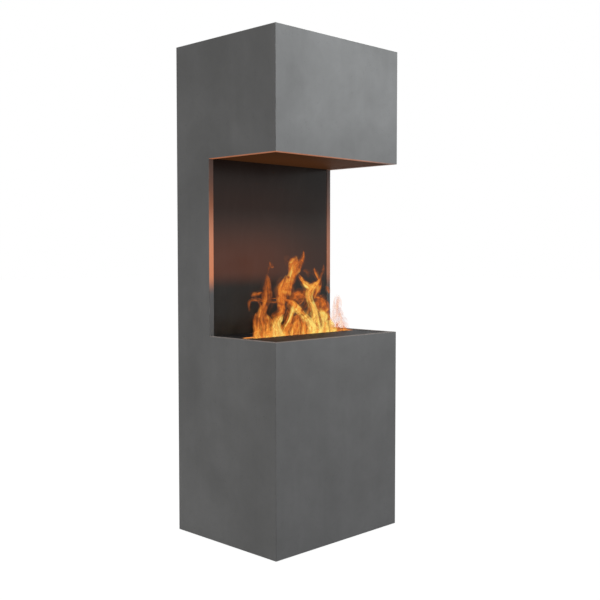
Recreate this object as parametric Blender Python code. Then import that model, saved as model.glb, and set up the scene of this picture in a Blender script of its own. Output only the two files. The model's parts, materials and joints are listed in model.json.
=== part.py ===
"""Free-standing water vapour fireplace: a tall column of boards with a niche open on three sides.

Units are metres. +Z is up, +X is to the right and -Y is the front. The origin is the middle of the
footprint, on the floor. The flames are lit vapour, so they are not a solid piece here.
"""

import math

import bmesh
import bpy
from mathutils import Matrix, Vector

# Clearances and cuts
SEAT_GAP = 0.0003
SMALL_CLEARANCE = 0.001
CUT_OVERRUN = 0.004
ROUND_SIDES = 24
SMALL_SIDES = 16

# Casing boards
CASING_WIDTH = 0.600
CASING_DEPTH = 0.500
CASING_HEIGHT = 1.700
BOARD = 0.019
REAR_BOARD = 0.012
REAR_RECESS = 0.008
FLOOR_GAP = 0.003
BEARER = 0.025
HALF_WIDTH = CASING_WIDTH / 2
INSIDE_X = HALF_WIDTH - BOARD
FRONT = -CASING_DEPTH / 2
BACK = CASING_DEPTH / 2

# Lengths as shares of the casing's depth
INSERT_DEPTH_SHARE = 0.32
SPINE_DEPTH_SHARE = 0.35
FILLER_WIDTH_SHARE = 0.104
TANK_DEPTH_SHARE = 0.38

# Places from the casing's front, as shares of its depth
SLOT_Y_SHARE = 0.40
INSERT_Y_SHARE = 0.33
SENSOR_Y_SHARE = 0.28
FILLER_Y_SHARE = 0.58
TANK_Y_SHARE = 0.63
CAP_Y_SHARE = 0.73
RETURN_TANK_Y_SHARE = 0.53
UNIT_Y_SHARE = 0.32

# Places from the casing's middle, as shares of its width
MIST_PITCH_SHARE = 0.25
FAN_X_SHARE = 0.25
SENSOR_X_SHARE = 0.375
FEED_X_SHARE = 47 / 120
RETURN_X_SHARE = -1 / 3
STRIP_X_SHARE = 19 / 60
UNIT_X_SHARE = 19 / 60
INLET_X_SHARE = 11 / 30

# Niche, open at the left, the front and the right
NICHE_FLOOR = 0.703
NICHE_HEIGHT = 0.600
SPINE_DEPTH = SPINE_DEPTH_SHARE * CASING_DEPTH
PANE = 0.004
PANE_SINK = 0.002
INNER_PLATE = 0.003
INNER_SINK = 0.002

# Flame slot in the hearth plate
SLOT_MARGIN = 0.010
SLOT_WIDTH = 0.048
SLOT_Y = FRONT + SLOT_Y_SHARE * CASING_DEPTH

# Vapour insert, hung in the shelf by its flange
INSERT_RIM = 0.0085
INSERT_MARGIN = 0.0175
INSERT_LENGTH = 2 * (INSIDE_X - INSERT_RIM)
INSERT_DEPTH = INSERT_DEPTH_SHARE * CASING_DEPTH
INSERT_HEIGHT = 0.198
INSERT_Y = FRONT + INSERT_Y_SHARE * CASING_DEPTH
INSERT_SHEET = 0.002
INSERT_LIP = 0.006

# Water trough and the three mist makers in it
TROUGH_CLEARANCE = 0.0015
TROUGH_WALL = 0.003
TROUGH_HEIGHT = 0.043
MIST_RADIUS = 0.024
MIST_HEIGHT = 0.020
MIST_PITCH = MIST_PITCH_SHARE * CASING_WIDTH
MIST_DISH_RADIUS = 0.016
MIST_DISH_DEPTH = 0.008

# Mist nozzle with its cover
COVER_HEIGHT = 0.112
COVER_PLATE = 0.003
NOZZLE_LENGTH = INSERT_LENGTH - 2 * INSERT_MARGIN
NOZZLE_WIDTH = 0.020
NOZZLE_WALL = 0.002
NOZZLE_DROP = 0.005

# Lamp bars on both sides of the nozzle
LAMP_WIDTH = 0.012
LAMP_HEIGHT = 0.065
LAMP_OFFSET = 0.0175
LAMP_FIN_DEPTH = 0.004
LAMP_FIN_COUNT = 5
LENS_HEIGHT = 0.008
LENS_SHOULDER = 0.002

# Fans behind the insert
FAN_SIZE = 0.060
FAN_DEPTH = 0.025
FAN_X = FAN_X_SHARE * CASING_WIDTH
FAN_BORE_RADIUS = 0.0275
FAN_PORT_RADIUS = 0.0260
FAN_HUB_RADIUS = 0.012
FAN_HUB_LENGTH = 0.017
FAN_MOTOR_THICKNESS = 0.004
FAN_STRUT = 0.003
FAN_SHAFT_RADIUS = 0.0015
FAN_BLADE_COUNT = 7
FAN_BLADE_RADIUS = 0.0265
FAN_BLADE_THICKNESS = 0.0016
FAN_BLADE_LENGTH = 0.013
FAN_BLADE_PITCH_DEG = 38.0

# Water level sensor
SENSOR_X = SENSOR_X_SHARE * CASING_WIDTH
SENSOR_Y = FRONT + SENSOR_Y_SHARE * CASING_DEPTH
SENSOR_RADIUS = 0.003
SENSOR_COLLAR_RADIUS = 0.006
SENSOR_COLLAR = 0.002
FLOAT_RADIUS = 0.011
FLOAT_HEIGHT = 0.014
FLOAT_TRAVEL = 0.020

# Filler neck, flap and pin, behind the slot
FILLER_Y = FRONT + FILLER_Y_SHARE * CASING_DEPTH
FILLER_LENGTH = 0.062
FILLER_WIDTH = FILLER_WIDTH_SHARE * CASING_DEPTH
FILLER_WALL = 0.005
FILLER_HEIGHT = 0.045
FILLER_FLOOR = 0.004
FILLER_LEDGE = 0.006
FLAP_THICKNESS = 0.003
FLAP_BARREL_RADIUS = 0.0023
FLAP_PIN_RADIUS = 0.001
FLAP_RIDGE_LENGTH = 0.016
FLAP_RIDGE_WIDTH = 0.003
FLAP_RIDGE_HEIGHT = 0.0015
SPOUT_RADIUS = 0.012
SPOUT_BORE = 0.009
SPOUT_LENGTH = 0.030
TUBE_WALL = 0.003

# Water tank with its filler collar, inspection neck and turning cap
TANK_WIDTH = 0.220
TANK_DEPTH = TANK_DEPTH_SHARE * CASING_DEPTH
TANK_HEIGHT = 0.240
TANK_Y = FRONT + TANK_Y_SHARE * CASING_DEPTH
TANK_WALL = 0.003
TANK_CORNER = 0.020
TANK_CORNER_STEPS = 4
COLLAR_HEIGHT = 0.025
CAP_X = 0.060
CAP_Y = FRONT + CAP_Y_SHARE * CASING_DEPTH
CAP_SIDES = 12
CAP_RADIUS = 0.027
CAP_HEIGHT = 0.018
CAP_NECK_RADIUS = 0.022
CAP_NECK_BORE = 0.018
CAP_NECK_HEIGHT = 0.012

# Feed pump
PUMP_RADIUS = 0.028
PUMP_LENGTH = 0.055
PUMP_STANDOFF = 0.015
PUMP_Z = 0.055
PUMP_FOOT_WIDTH = 0.040
PUMP_COVER_RADIUS = 0.031
PUMP_COVER = 0.006
SPIGOT_RADIUS = 0.005
SPIGOT_LENGTH = 0.024

# Hoses
HOSE_RADIUS = 0.0055
HOSE_STEP = 0.014
FEED_X = FEED_X_SHARE * CASING_WIDTH
FEED_HEIGHT = 0.060
FEED_REACH = 0.015
RETURN_X = RETURN_X_SHARE * CASING_WIDTH
RETURN_TANK_X = -0.070
RETURN_TANK_Y = FRONT + RETURN_TANK_Y_SHARE * CASING_DEPTH

# Points of each hose's route, as shares of its reach in x, y and z, or across and down
FEED_ROUTE_SHARES = (
    (0.0, 1.0, 0.0),
    (0.0, 1.0, 0.07),
    (0.0, 1.0, 0.14),
    (0.25, 1.0, 0.50),
    (0.80, 0.85, 0.80),
    (1.0, 0.60, 0.965),
    (1.0, 0.30, 1.0),
    (1.0, 0.15, 1.0),
)
RETURN_ROUTE_SHARES = (
    (0.0, 0.0),
    (0.0, 0.08),
    (0.0, 0.16),
    (0.30, 0.45),
    (0.88, 0.74),
    (1.0, 0.86),
    (1.0, 0.93),
    (1.0, 1.0),
)

# Drain valve and its lever
VALVE_X = -0.060
VALVE_Z = 0.060
VALVE_BODY_RADIUS = 0.013
VALVE_STANDOFF = 0.012
VALVE_BODY_LENGTH = 0.024
VALVE_OUTLET_RADIUS = 0.006
VALVE_OUTLET_LENGTH = 0.028
VALVE_STEM_RADIUS = 0.004
VALVE_STEM_LENGTH = 0.012
LEVER_HUB_RADIUS = 0.008
LEVER_LENGTH = 0.042
LEVER_WIDTH = 0.010
LEVER_THICKNESS = 0.004

# Control strip with three push buttons
STRIP_X = STRIP_X_SHARE * CASING_WIDTH
STRIP_LENGTH = 0.100
STRIP_WIDTH = 0.026
STRIP_DEPTH = 0.0165
STRIP_PROUD = 0.0005
STRIP_WALL = 0.0025
STRIP_TOP = 0.003
BUTTON_PITCH = 0.028
BUTTON_RADIUS = 0.006
BUTTON_PROUD = 0.0015
BUTTON_FLANGE_RADIUS = 0.0078
BUTTON_FLANGE = 0.002
BUTTON_POST_RADIUS = 0.0015
BUTTON_TRAVEL = 0.0015
BUTTON_POST = 0.0028
CIRCUIT_BOARD = 0.0016

# Control unit and mains inlet
UNIT_X = UNIT_X_SHARE * CASING_WIDTH
UNIT_Y = FRONT + UNIT_Y_SHARE * CASING_DEPTH
UNIT_LENGTH = 0.120
UNIT_WIDTH = 0.080
UNIT_HEIGHT = 0.040
UNIT_EAR = 0.012
UNIT_EAR_THICKNESS = 0.003
INLET_X = INLET_X_SHARE * CASING_WIDTH
INLET_Z = 0.100
INLET_WIDTH = 0.027
INLET_HEIGHT = 0.056
INLET_DEPTH = 0.050
INLET_FLANGE = 0.0025
INLET_LIP = 0.005
SOCKET_WIDTH = 0.022
SOCKET_HEIGHT = 0.018
SOCKET_DEPTH = 0.016
SOCKET_DROP = 0.014
ROCKER_RISE = 0.014
ROCKER_WIDTH = 0.018
ROCKER_HEIGHT = 0.018
ROCKER_BACK = 0.006
ROCKER_FRONT = 0.0045
ROCKER_DIP = 0.0015
ROCKER_SINK = 0.002
ROCKER_PIN_RADIUS = 0.0012
ROCKER_CLEARANCE = 0.0025
ROCKER_TILT_DEG = 8.0

# Service door in the rear panel
DOOR_WIDTH = 0.300
DOOR_HEIGHT = 0.420
DOOR_SILL = 0.035
DOOR_CLEARANCE = 0.0015
HINGE_LENGTH = 0.360
HINGE_LEAF = 0.0012
HINGE_LEAF_WIDTH = 0.018
HINGE_KNUCKLE_RADIUS = 0.0034
HINGE_PIN_RADIUS = 0.0014
HINGE_KNUCKLE_COUNT = 7
LATCH_INSET = 0.020
LATCH_KNOB_RADIUS = 0.011
LATCH_KNOB_DEPTH = 0.0065
LATCH_GRIP = 0.004
LATCH_SHAFT_RADIUS = 0.004
LATCH_CAM_LENGTH = 0.030
LATCH_CAM_WIDTH = 0.012
LATCH_CAM = 0.0035

# Air slots in the rear panel
VENT_LENGTH = 0.200
VENT_HEIGHT = 0.006
VENT_PITCH = 0.014
VENT_COUNT = 6
VENT_Z = 0.560

# Levelling feet
FOOT_INSET = 0.065
FOOT_PAD_RADIUS = 0.018
FOOT_STEM_RADIUS = 0.005
FOOT_STEM_LENGTH = 0.040
FOOT_BORE_DEPTH = 0.008
FOOT_BORE_CLEARANCE = 0.002

# Places that follow from the sizes above
SLOT_LENGTH = NOZZLE_LENGTH + 2 * SLOT_MARGIN
INSIDE_FRONT = FRONT + BOARD
REAR_FACE = BACK - REAR_RECESS
INSIDE_BACK = REAR_FACE - REAR_BOARD
INSIDE_TOP = CASING_HEIGHT - BOARD
BASE_TOP = FLOOR_GAP + BOARD
NICHE_TOP = NICHE_FLOOR + NICHE_HEIGHT
SPINE_FRONT = BACK - SPINE_DEPTH
FIT_X = INSIDE_X - SEAT_GAP
FIT_FRONT = INSIDE_FRONT + SEAT_GAP
FIT_BACK = INSIDE_BACK - SEAT_GAP
PANE_FRONT = SPINE_FRONT + PANE_SINK
PANE_BACK = PANE_FRONT + PANE
HEARTH_TOP = NICHE_FLOOR - INNER_SINK
HEARTH_UNDER = HEARTH_TOP - INNER_PLATE
FLANGE_TOP = HEARTH_UNDER - SEAT_GAP
FLANGE_UNDER = FLANGE_TOP - INSERT_SHEET
SHELF_TOP = FLANGE_UNDER - SEAT_GAP
SHELF_UNDER = SHELF_TOP - BOARD
CEILING_UNDER = NICHE_TOP + INNER_SINK
CEILING_BOARD_UNDER = CEILING_UNDER + INNER_PLATE + SEAT_GAP
CEILING_BOARD_TOP = CEILING_BOARD_UNDER + BOARD
INSERT_FLOOR = FLANGE_TOP - INSERT_HEIGHT
INSERT_FLOOR_TOP = INSERT_FLOOR + INSERT_SHEET
INSERT_BACK = INSERT_Y + INSERT_DEPTH / 2
TROUGH_UNDER = INSERT_FLOOR_TOP + SEAT_GAP
TROUGH_FLOOR = TROUGH_UNDER + TROUGH_WALL
TROUGH_TOP = TROUGH_UNDER + TROUGH_HEIGHT
COVER_UNDER = INSERT_FLOOR + COVER_HEIGHT
COVER_TOP = COVER_UNDER + COVER_PLATE
NOZZLE_TOP = HEARTH_TOP - NOZZLE_DROP
LAMP_UNDER = COVER_TOP + SEAT_GAP
LAMP_TOP = LAMP_UNDER + LAMP_HEIGHT
FAN_Z = (TROUGH_TOP + COVER_UNDER) / 2
FAN_FRONT = INSERT_BACK + SEAT_GAP
FAN_BACK = FAN_FRONT + FAN_DEPTH
FILLER_UNDER = HEARTH_TOP - FILLER_HEIGHT
FLAP_UNDER = HEARTH_TOP - FLAP_THICKNESS
FLAP_AXIS_Y = FILLER_Y + FILLER_WIDTH / 2 - FILLER_WALL - FLAP_BARREL_RADIUS - SMALL_CLEARANCE / 2
FLAP_AXIS_Z = HEARTH_TOP - FLAP_BARREL_RADIUS + SEAT_GAP
SPOUT_Y = FILLER_Y
TANK_UNDER = BASE_TOP + SEAT_GAP
TANK_TOP = TANK_UNDER + TANK_HEIGHT
TANK_BACK = TANK_Y + TANK_DEPTH / 2
STRIP_TOP_Z = HEARTH_TOP + STRIP_PROUD
STRIP_UNDERSIDE = STRIP_TOP_Z - STRIP_TOP
DOOR_SILL_TOP = DOOR_SILL + DOOR_HEIGHT
DOOR_MIDDLE = DOOR_SILL + DOOR_HEIGHT / 2
HINGE_X = -DOOR_WIDTH / 2
LEAF_FRONT = REAR_FACE + SEAT_GAP
HINGE_Y = LEAF_FRONT + HINGE_KNUCKLE_RADIUS
LATCH_X = DOOR_WIDTH / 2 - LATCH_INSET
FOOT_X = HALF_WIDTH - FOOT_INSET
FOOT_Y = CASING_DEPTH / 2 - FOOT_INSET
FOOT_SEAT = FLOOR_GAP + FOOT_BORE_DEPTH

AXIS_TURNS = {
    "X": Matrix.Rotation(math.radians(90), 4, "Y"),
    "Y": Matrix.Rotation(math.radians(-90), 4, "X"),
    "Z": Matrix.Identity(4),
}


def clear_scene():
    for item in list(bpy.data.objects):
        bpy.data.objects.remove(item, do_unlink=True)


def finish(name, colour, roughness, metallic=0.0):
    """A plain Principled material."""
    material = bpy.data.materials.new(name)
    material.use_nodes = True
    shader = material.node_tree.nodes["Principled BSDF"]
    shader.inputs["Base Color"].default_value = (*colour, 1.0)
    shader.inputs["Roughness"].default_value = roughness
    shader.inputs["Metallic"].default_value = metallic
    return material


def add_block(shape, low, high):
    """Adds a box from its lowest to its highest corner."""
    low, high = Vector(low), Vector(high)
    made = bmesh.ops.create_cube(shape, size=1.0)["verts"]
    size = Matrix.Diagonal((*(high - low), 1.0))
    bmesh.ops.transform(shape, matrix=Matrix.Translation((low + high) / 2) @ size, verts=made)
    return made


def add_rod(shape, start, length, radius, axis="Z", sides=ROUND_SIDES):
    """Adds a cylinder that runs from its start along one axis."""
    made = bmesh.ops.create_cone(
        shape, cap_ends=True, segments=sides, radius1=radius, radius2=radius, depth=length
    )["verts"]
    lift = Matrix.Translation((0, 0, length / 2))
    bmesh.ops.transform(
        shape, matrix=Matrix.Translation(start) @ AXIS_TURNS[axis] @ lift, verts=made
    )
    return made


def add_loft(shape, near, far):
    """Adds a solid between two outlines that have the same number of points."""
    near_ring = [shape.verts.new(point) for point in near]
    far_ring = [shape.verts.new(point) for point in far]
    faces = [shape.faces.new(near_ring), shape.faces.new(far_ring)]
    for index, corner in enumerate(near_ring):
        after = (index + 1) % len(near_ring)
        faces.append(shape.faces.new((corner, near_ring[after], far_ring[after], far_ring[index])))
    bmesh.ops.recalc_face_normals(shape, faces=faces)
    return near_ring + far_ring


def add_prism(shape, outline, bottom, top):
    """Adds an upright solid over an outline in X and Y."""
    near = [(x, y, bottom) for x, y in outline]
    far = [(x, y, top) for x, y in outline]
    return add_loft(shape, near, far)


def made_mesh(name, shape):
    mesh = bpy.data.meshes.new(name)
    bmesh.ops.recalc_face_normals(shape, faces=shape.faces)
    shape.to_mesh(mesh)
    shape.free()
    return mesh


def piece(name, shape, material, origin=(0, 0, 0), smooth=False):
    """Turns a finished shape into a named object whose origin is at the given point."""
    mesh = made_mesh(name, shape)
    mesh.transform(Matrix.Translation(-Vector(origin)))
    mesh.materials.append(material)
    if smooth:
        mesh.shade_smooth()
        mesh.set_sharp_from_angle(angle=math.radians(35))
    made = bpy.data.objects.new(name, mesh)
    made.location = origin
    bpy.context.scene.collection.objects.link(made)
    return made


def combine(target, shape, operation, label):
    """Applies one Boolean to a piece, with a hidden helper object."""
    helper = bpy.data.objects.new(f"{target.name}_{label}", made_mesh(f"{target.name}_{label}", shape))
    helper.hide_render = True
    helper.display_type = "WIRE"
    bpy.context.scene.collection.objects.link(helper)
    change = target.modifiers.new(label, "BOOLEAN")
    change.operation = operation
    change.solver = "EXACT"
    change.object = helper
    return target


def cut(target, shape, label="cut"):
    return combine(target, shape, "DIFFERENCE", label)


def join(target, shape, label="join"):
    return combine(target, shape, "UNION", label)


def block_shape(low, high):
    shape = bmesh.new()
    add_block(shape, low, high)
    return shape


def rod_shape(start, length, radius, axis="Z", sides=ROUND_SIDES):
    shape = bmesh.new()
    add_rod(shape, start, length, radius, axis, sides)
    return shape


def rounded_outline(centre_x, centre_y, width, depth, corner):
    """A rectangle in X and Y whose corners are arcs."""
    points = []
    for quarter in range(4):
        side_x = 1 if quarter in (0, 3) else -1
        side_y = 1 if quarter in (0, 1) else -1
        middle_x = centre_x + side_x * (width / 2 - corner)
        middle_y = centre_y + side_y * (depth / 2 - corner)
        for step in range(TANK_CORNER_STEPS + 1):
            angle = math.radians(90) * (quarter + step / TANK_CORNER_STEPS)
            points.append((middle_x + corner * math.cos(angle), middle_y + corner * math.sin(angle)))
    return points


def smooth_route(points, step):
    """Points at an even step along a Catmull-Rom curve through the given points."""
    knots = [Vector(point) for point in points]
    knots = [2 * knots[0] - knots[1], *knots, 2 * knots[-1] - knots[-2]]
    route = []
    for index in range(1, len(knots) - 2):
        before, start, end, after = knots[index - 1 : index + 3]
        count = max(2, round((end - start).length / step))
        for part in range(count):
            t = part / count
            route.append(
                0.5
                * (
                    2 * start
                    + (end - before) * t
                    + (2 * before - 5 * start + 4 * end - after) * t**2
                    + (3 * start - before - 3 * end + after) * t**3
                )
            )
    route.append(knots[-2])
    return route


def hose(name, points, radius, material):
    """A round hose along a smooth curve through the given points."""
    curve = bpy.data.curves.new(name, "CURVE")
    curve.dimensions = "3D"
    curve.bevel_depth = radius
    curve.bevel_resolution = 2
    curve.use_fill_caps = True
    route = smooth_route(points, HOSE_STEP)
    line = curve.splines.new("POLY")
    line.points.add(len(route) - 1)
    for knot, place in zip(line.points, route):
        knot.co = (*place, 1.0)
    curve.materials.append(material)
    made = bpy.data.objects.new(name, curve)
    bpy.context.scene.collection.objects.link(made)
    return made


def side_panel(name, side, material):
    """A C-shaped side board, mitred along its front and top edges and open at the niche."""
    def outline(x, inset):
        front = FRONT + SEAT_GAP + inset
        top = CASING_HEIGHT - SEAT_GAP - inset
        return [
            (x, front, FLOOR_GAP),
            (x, BACK, FLOOR_GAP),
            (x, BACK, top),
            (x, front, top),
            (x, front, NICHE_TOP),
            (x, SPINE_FRONT, NICHE_TOP),
            (x, SPINE_FRONT, NICHE_FLOOR),
            (x, front, NICHE_FLOOR),
        ]

    shape = bmesh.new()
    add_loft(shape, outline(side * HALF_WIDTH, 0), outline(side * INSIDE_X, BOARD))
    return piece(name, shape, material)


def front_panel(name, bottom, outer_top, inner_top, material):
    """A front board with mitred sides, and a mitred top edge where the two tops differ."""
    shape = bmesh.new()
    add_loft(
        shape,
        [
            (-HALF_WIDTH, FRONT, bottom),
            (HALF_WIDTH, FRONT, bottom),
            (HALF_WIDTH, FRONT, outer_top),
            (-HALF_WIDTH, FRONT, outer_top),
        ],
        [
            (-INSIDE_X, INSIDE_FRONT, bottom),
            (INSIDE_X, INSIDE_FRONT, bottom),
            (INSIDE_X, INSIDE_FRONT, inner_top),
            (-INSIDE_X, INSIDE_FRONT, inner_top),
        ],
    )
    return piece(name, shape, material)


def top_panel(material):
    """The top board, mitred at the left, the front and the right."""
    shape = bmesh.new()
    add_loft(
        shape,
        [
            (-HALF_WIDTH, FRONT, CASING_HEIGHT),
            (HALF_WIDTH, FRONT, CASING_HEIGHT),
            (HALF_WIDTH, BACK, CASING_HEIGHT),
            (-HALF_WIDTH, BACK, CASING_HEIGHT),
        ],
        [
            (-INSIDE_X, INSIDE_FRONT, INSIDE_TOP),
            (INSIDE_X, INSIDE_FRONT, INSIDE_TOP),
            (INSIDE_X, BACK, INSIDE_TOP),
            (-INSIDE_X, BACK, INSIDE_TOP),
        ],
    )
    return piece("top_panel", shape, material)


def foot_places():
    return [(x, y) for y in (-FOOT_Y, FOOT_Y) for x in (-FOOT_X, FOOT_X)]


def base_panel(material):
    """The bottom board, bored for the stems and counterbored for the pads of the feet."""
    board = piece(
        "base_panel",
        block_shape((-FIT_X, FIT_FRONT, FLOOR_GAP), (FIT_X, FIT_BACK, BASE_TOP)),
        material,
    )
    bores = bmesh.new()
    seats = bmesh.new()
    for x, y in foot_places():
        add_rod(
            bores,
            (x, y, FLOOR_GAP - CUT_OVERRUN),
            BOARD + 2 * CUT_OVERRUN,
            FOOT_STEM_RADIUS + SEAT_GAP,
            sides=SMALL_SIDES,
        )
        add_rod(
            seats,
            (x, y, FLOOR_GAP - CUT_OVERRUN),
            FOOT_BORE_DEPTH + CUT_OVERRUN,
            FOOT_PAD_RADIUS + FOOT_BORE_CLEARANCE,
        )
    cut(board, bores, "stem_bores")
    return cut(board, seats, "pad_seats")


def rear_panel(material):
    """The rear board with its door opening, air slots and the cut-out of the mains inlet."""
    board = piece(
        "rear_panel",
        block_shape(
            (-FIT_X, INSIDE_BACK, FLOOR_GAP), (FIT_X, REAR_FACE, INSIDE_TOP - SEAT_GAP)
        ),
        material,
    )
    openings = bmesh.new()
    near = INSIDE_BACK - CUT_OVERRUN
    far = REAR_FACE + CUT_OVERRUN
    add_block(
        openings, (-DOOR_WIDTH / 2, near, DOOR_SILL), (DOOR_WIDTH / 2, far, DOOR_SILL_TOP)
    )
    half = INLET_WIDTH / 2 + SEAT_GAP
    rise = INLET_HEIGHT / 2 + SEAT_GAP
    add_block(
        openings,
        (INLET_X - half, near, INLET_Z - rise),
        (INLET_X + half, far, INLET_Z + rise),
    )
    for row in range(VENT_COUNT):
        z = VENT_Z + row * VENT_PITCH
        add_block(
            openings, (-VENT_LENGTH / 2, near, z), (VENT_LENGTH / 2, far, z + VENT_HEIGHT)
        )
    return cut(board, openings, "openings")


def insert_hole(shape, clearance, bottom, top):
    """Adds the through hole that a vapour insert of this size needs."""
    half_x = INSERT_LENGTH / 2 + clearance
    half_y = INSERT_DEPTH / 2 + clearance
    add_block(shape, (-half_x, INSERT_Y - half_y, bottom), (half_x, INSERT_Y + half_y, top))


def filler_hole(shape, clearance, bottom, top):
    half_x = FILLER_LENGTH / 2 + clearance
    half_y = FILLER_WIDTH / 2 + clearance
    add_block(shape, (-half_x, FILLER_Y - half_y, bottom), (half_x, FILLER_Y + half_y, top))


def strip_hole(shape, clearance, bottom, top):
    half_x = STRIP_LENGTH / 2 + clearance
    half_y = STRIP_WIDTH / 2 + clearance
    add_block(
        shape,
        (STRIP_X - half_x, FILLER_Y - half_y, bottom),
        (STRIP_X + half_x, FILLER_Y + half_y, top),
    )


def niche_boards(board_finish, bearer_finish):
    """The shelf that carries the insert, the ceiling board, the spine board and their bearers."""
    shelf = piece(
        "niche_shelf",
        block_shape((-FIT_X, FIT_FRONT, SHELF_UNDER), (FIT_X, FIT_BACK, SHELF_TOP)),
        board_finish,
    )
    holes = bmesh.new()
    bottom = SHELF_UNDER - CUT_OVERRUN
    top = SHELF_TOP + CUT_OVERRUN
    insert_hole(holes, SMALL_CLEARANCE, bottom, top)
    filler_hole(holes, SEAT_GAP, bottom, top)
    strip_hole(holes, SMALL_CLEARANCE, bottom, top)
    cut(shelf, holes, "openings")
    piece(
        "niche_ceiling_board",
        block_shape(
            (-FIT_X, FIT_FRONT, CEILING_BOARD_UNDER), (FIT_X, FIT_BACK, CEILING_BOARD_TOP)
        ),
        board_finish,
    )
    piece(
        "spine_front_board",
        block_shape(
            (-FIT_X, PANE_BACK + SEAT_GAP, SHELF_TOP + SEAT_GAP),
            (FIT_X, PANE_BACK + SEAT_GAP + BOARD, CEILING_BOARD_UNDER - SEAT_GAP),
        ),
        board_finish,
    )
    under = SHELF_UNDER - SEAT_GAP - BEARER
    over = CEILING_BOARD_TOP + SEAT_GAP
    for name, bottom in (("shelf_bearer", under), ("ceiling_bearer", over)):
        piece(
            f"{name}_front",
            block_shape((-FIT_X, FIT_FRONT, bottom), (FIT_X, FIT_FRONT + BEARER, bottom + BEARER)),
            bearer_finish,
        )
        piece(
            f"{name}_rear",
            block_shape((-FIT_X, FIT_BACK - BEARER, bottom), (FIT_X, FIT_BACK, bottom + BEARER)),
            bearer_finish,
        )


def niche_linings(plate_finish, pane_finish):
    """The hearth plate with its slot, the ceiling plate and the dark pane at the back."""
    hearth = piece(
        "hearth_plate",
        block_shape((-FIT_X, FIT_FRONT, HEARTH_UNDER), (FIT_X, PANE_FRONT - SEAT_GAP, HEARTH_TOP)),
        plate_finish,
    )
    holes = bmesh.new()
    bottom = HEARTH_UNDER - CUT_OVERRUN
    top = HEARTH_TOP + CUT_OVERRUN
    add_block(
        holes,
        (-SLOT_LENGTH / 2, SLOT_Y - SLOT_WIDTH / 2, bottom),
        (SLOT_LENGTH / 2, SLOT_Y + SLOT_WIDTH / 2, top),
    )
    filler_hole(holes, SEAT_GAP, bottom, top)
    strip_hole(holes, SEAT_GAP, bottom, top)
    cut(hearth, holes, "openings")
    piece(
        "ceiling_plate",
        block_shape(
            (-FIT_X, FIT_FRONT, CEILING_UNDER),
            (FIT_X, PANE_FRONT - SEAT_GAP, CEILING_UNDER + INNER_PLATE),
        ),
        plate_finish,
    )
    piece(
        "back_glass",
        block_shape(
            (-FIT_X, PANE_FRONT, SHELF_TOP + SEAT_GAP),
            (FIT_X, PANE_BACK, CEILING_BOARD_UNDER - SEAT_GAP),
        ),
        pane_finish,
    )


def insert_housing(material):
    """The sheet-metal box that hangs in the shelf, open on top, with ports for air and hoses."""
    half_x = INSERT_LENGTH / 2
    half_y = INSERT_DEPTH / 2
    box = piece(
        "insert_housing",
        block_shape(
            (-half_x, INSERT_Y - half_y, INSERT_FLOOR), (half_x, INSERT_Y + half_y, FLANGE_TOP)
        ),
        material,
    )
    reach_x = half_x + INSERT_LIP
    reach_y = half_y + INSERT_LIP
    lip = block_shape(
        (-reach_x, INSERT_Y - reach_y, FLANGE_UNDER), (reach_x, INSERT_Y + reach_y, FLANGE_TOP)
    )
    join(box, lip, "lip")
    inner_x = half_x - INSERT_SHEET
    inner_y = half_y - INSERT_SHEET
    pocket = block_shape(
        (-inner_x, INSERT_Y - inner_y, INSERT_FLOOR_TOP),
        (inner_x, INSERT_Y + inner_y, FLANGE_TOP + CUT_OVERRUN),
    )
    cut(box, pocket, "pocket")
    ports = bmesh.new()
    start = INSERT_BACK - INSERT_SHEET - CUT_OVERRUN
    run = INSERT_SHEET + 2 * CUT_OVERRUN
    for x in (-FAN_X, FAN_X):
        add_rod(ports, (x, start, FAN_Z), run, FAN_PORT_RADIUS, "Y")
    add_rod(
        ports,
        (FEED_X, start, INSERT_FLOOR + FEED_HEIGHT),
        run,
        HOSE_RADIUS + SEAT_GAP,
        "Y",
        SMALL_SIDES,
    )
    add_rod(
        ports,
        (RETURN_X, INSERT_Y, INSERT_FLOOR - CUT_OVERRUN),
        run,
        SPIGOT_RADIUS,
        sides=SMALL_SIDES,
    )
    return cut(box, ports, "ports")


def water_trough(material):
    """The open trough in which the mist makers stand, with its overflow outlet."""
    half_x = INSERT_LENGTH / 2 - INSERT_SHEET - TROUGH_CLEARANCE
    half_y = INSERT_DEPTH / 2 - INSERT_SHEET - TROUGH_CLEARANCE
    trough = piece(
        "water_trough",
        block_shape(
            (-half_x, INSERT_Y - half_y, TROUGH_UNDER), (half_x, INSERT_Y + half_y, TROUGH_TOP)
        ),
        material,
    )
    inner_x = half_x - TROUGH_WALL
    inner_y = half_y - TROUGH_WALL
    basin = block_shape(
        (-inner_x, INSERT_Y - inner_y, TROUGH_FLOOR),
        (inner_x, INSERT_Y + inner_y, TROUGH_TOP + CUT_OVERRUN),
    )
    cut(trough, basin, "basin")
    outlet = rod_shape(
        (RETURN_X, INSERT_Y, TROUGH_UNDER - CUT_OVERRUN),
        TROUGH_WALL + 2 * CUT_OVERRUN,
        SPIGOT_RADIUS,
        sides=SMALL_SIDES,
    )
    return cut(trough, outlet, "outlet")


def mist_maker(name, x, material):
    """A round module with a shallow dish over its vibrating disc."""
    base = TROUGH_FLOOR + SEAT_GAP
    module = piece(
        name,
        rod_shape((x, INSERT_Y, base), MIST_HEIGHT, MIST_RADIUS),
        material,
        smooth=True,
    )
    dish = rod_shape(
        (x, INSERT_Y, base + MIST_HEIGHT - MIST_DISH_DEPTH),
        MIST_DISH_DEPTH + CUT_OVERRUN,
        MIST_DISH_RADIUS,
    )
    return cut(module, dish, "dish")


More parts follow.
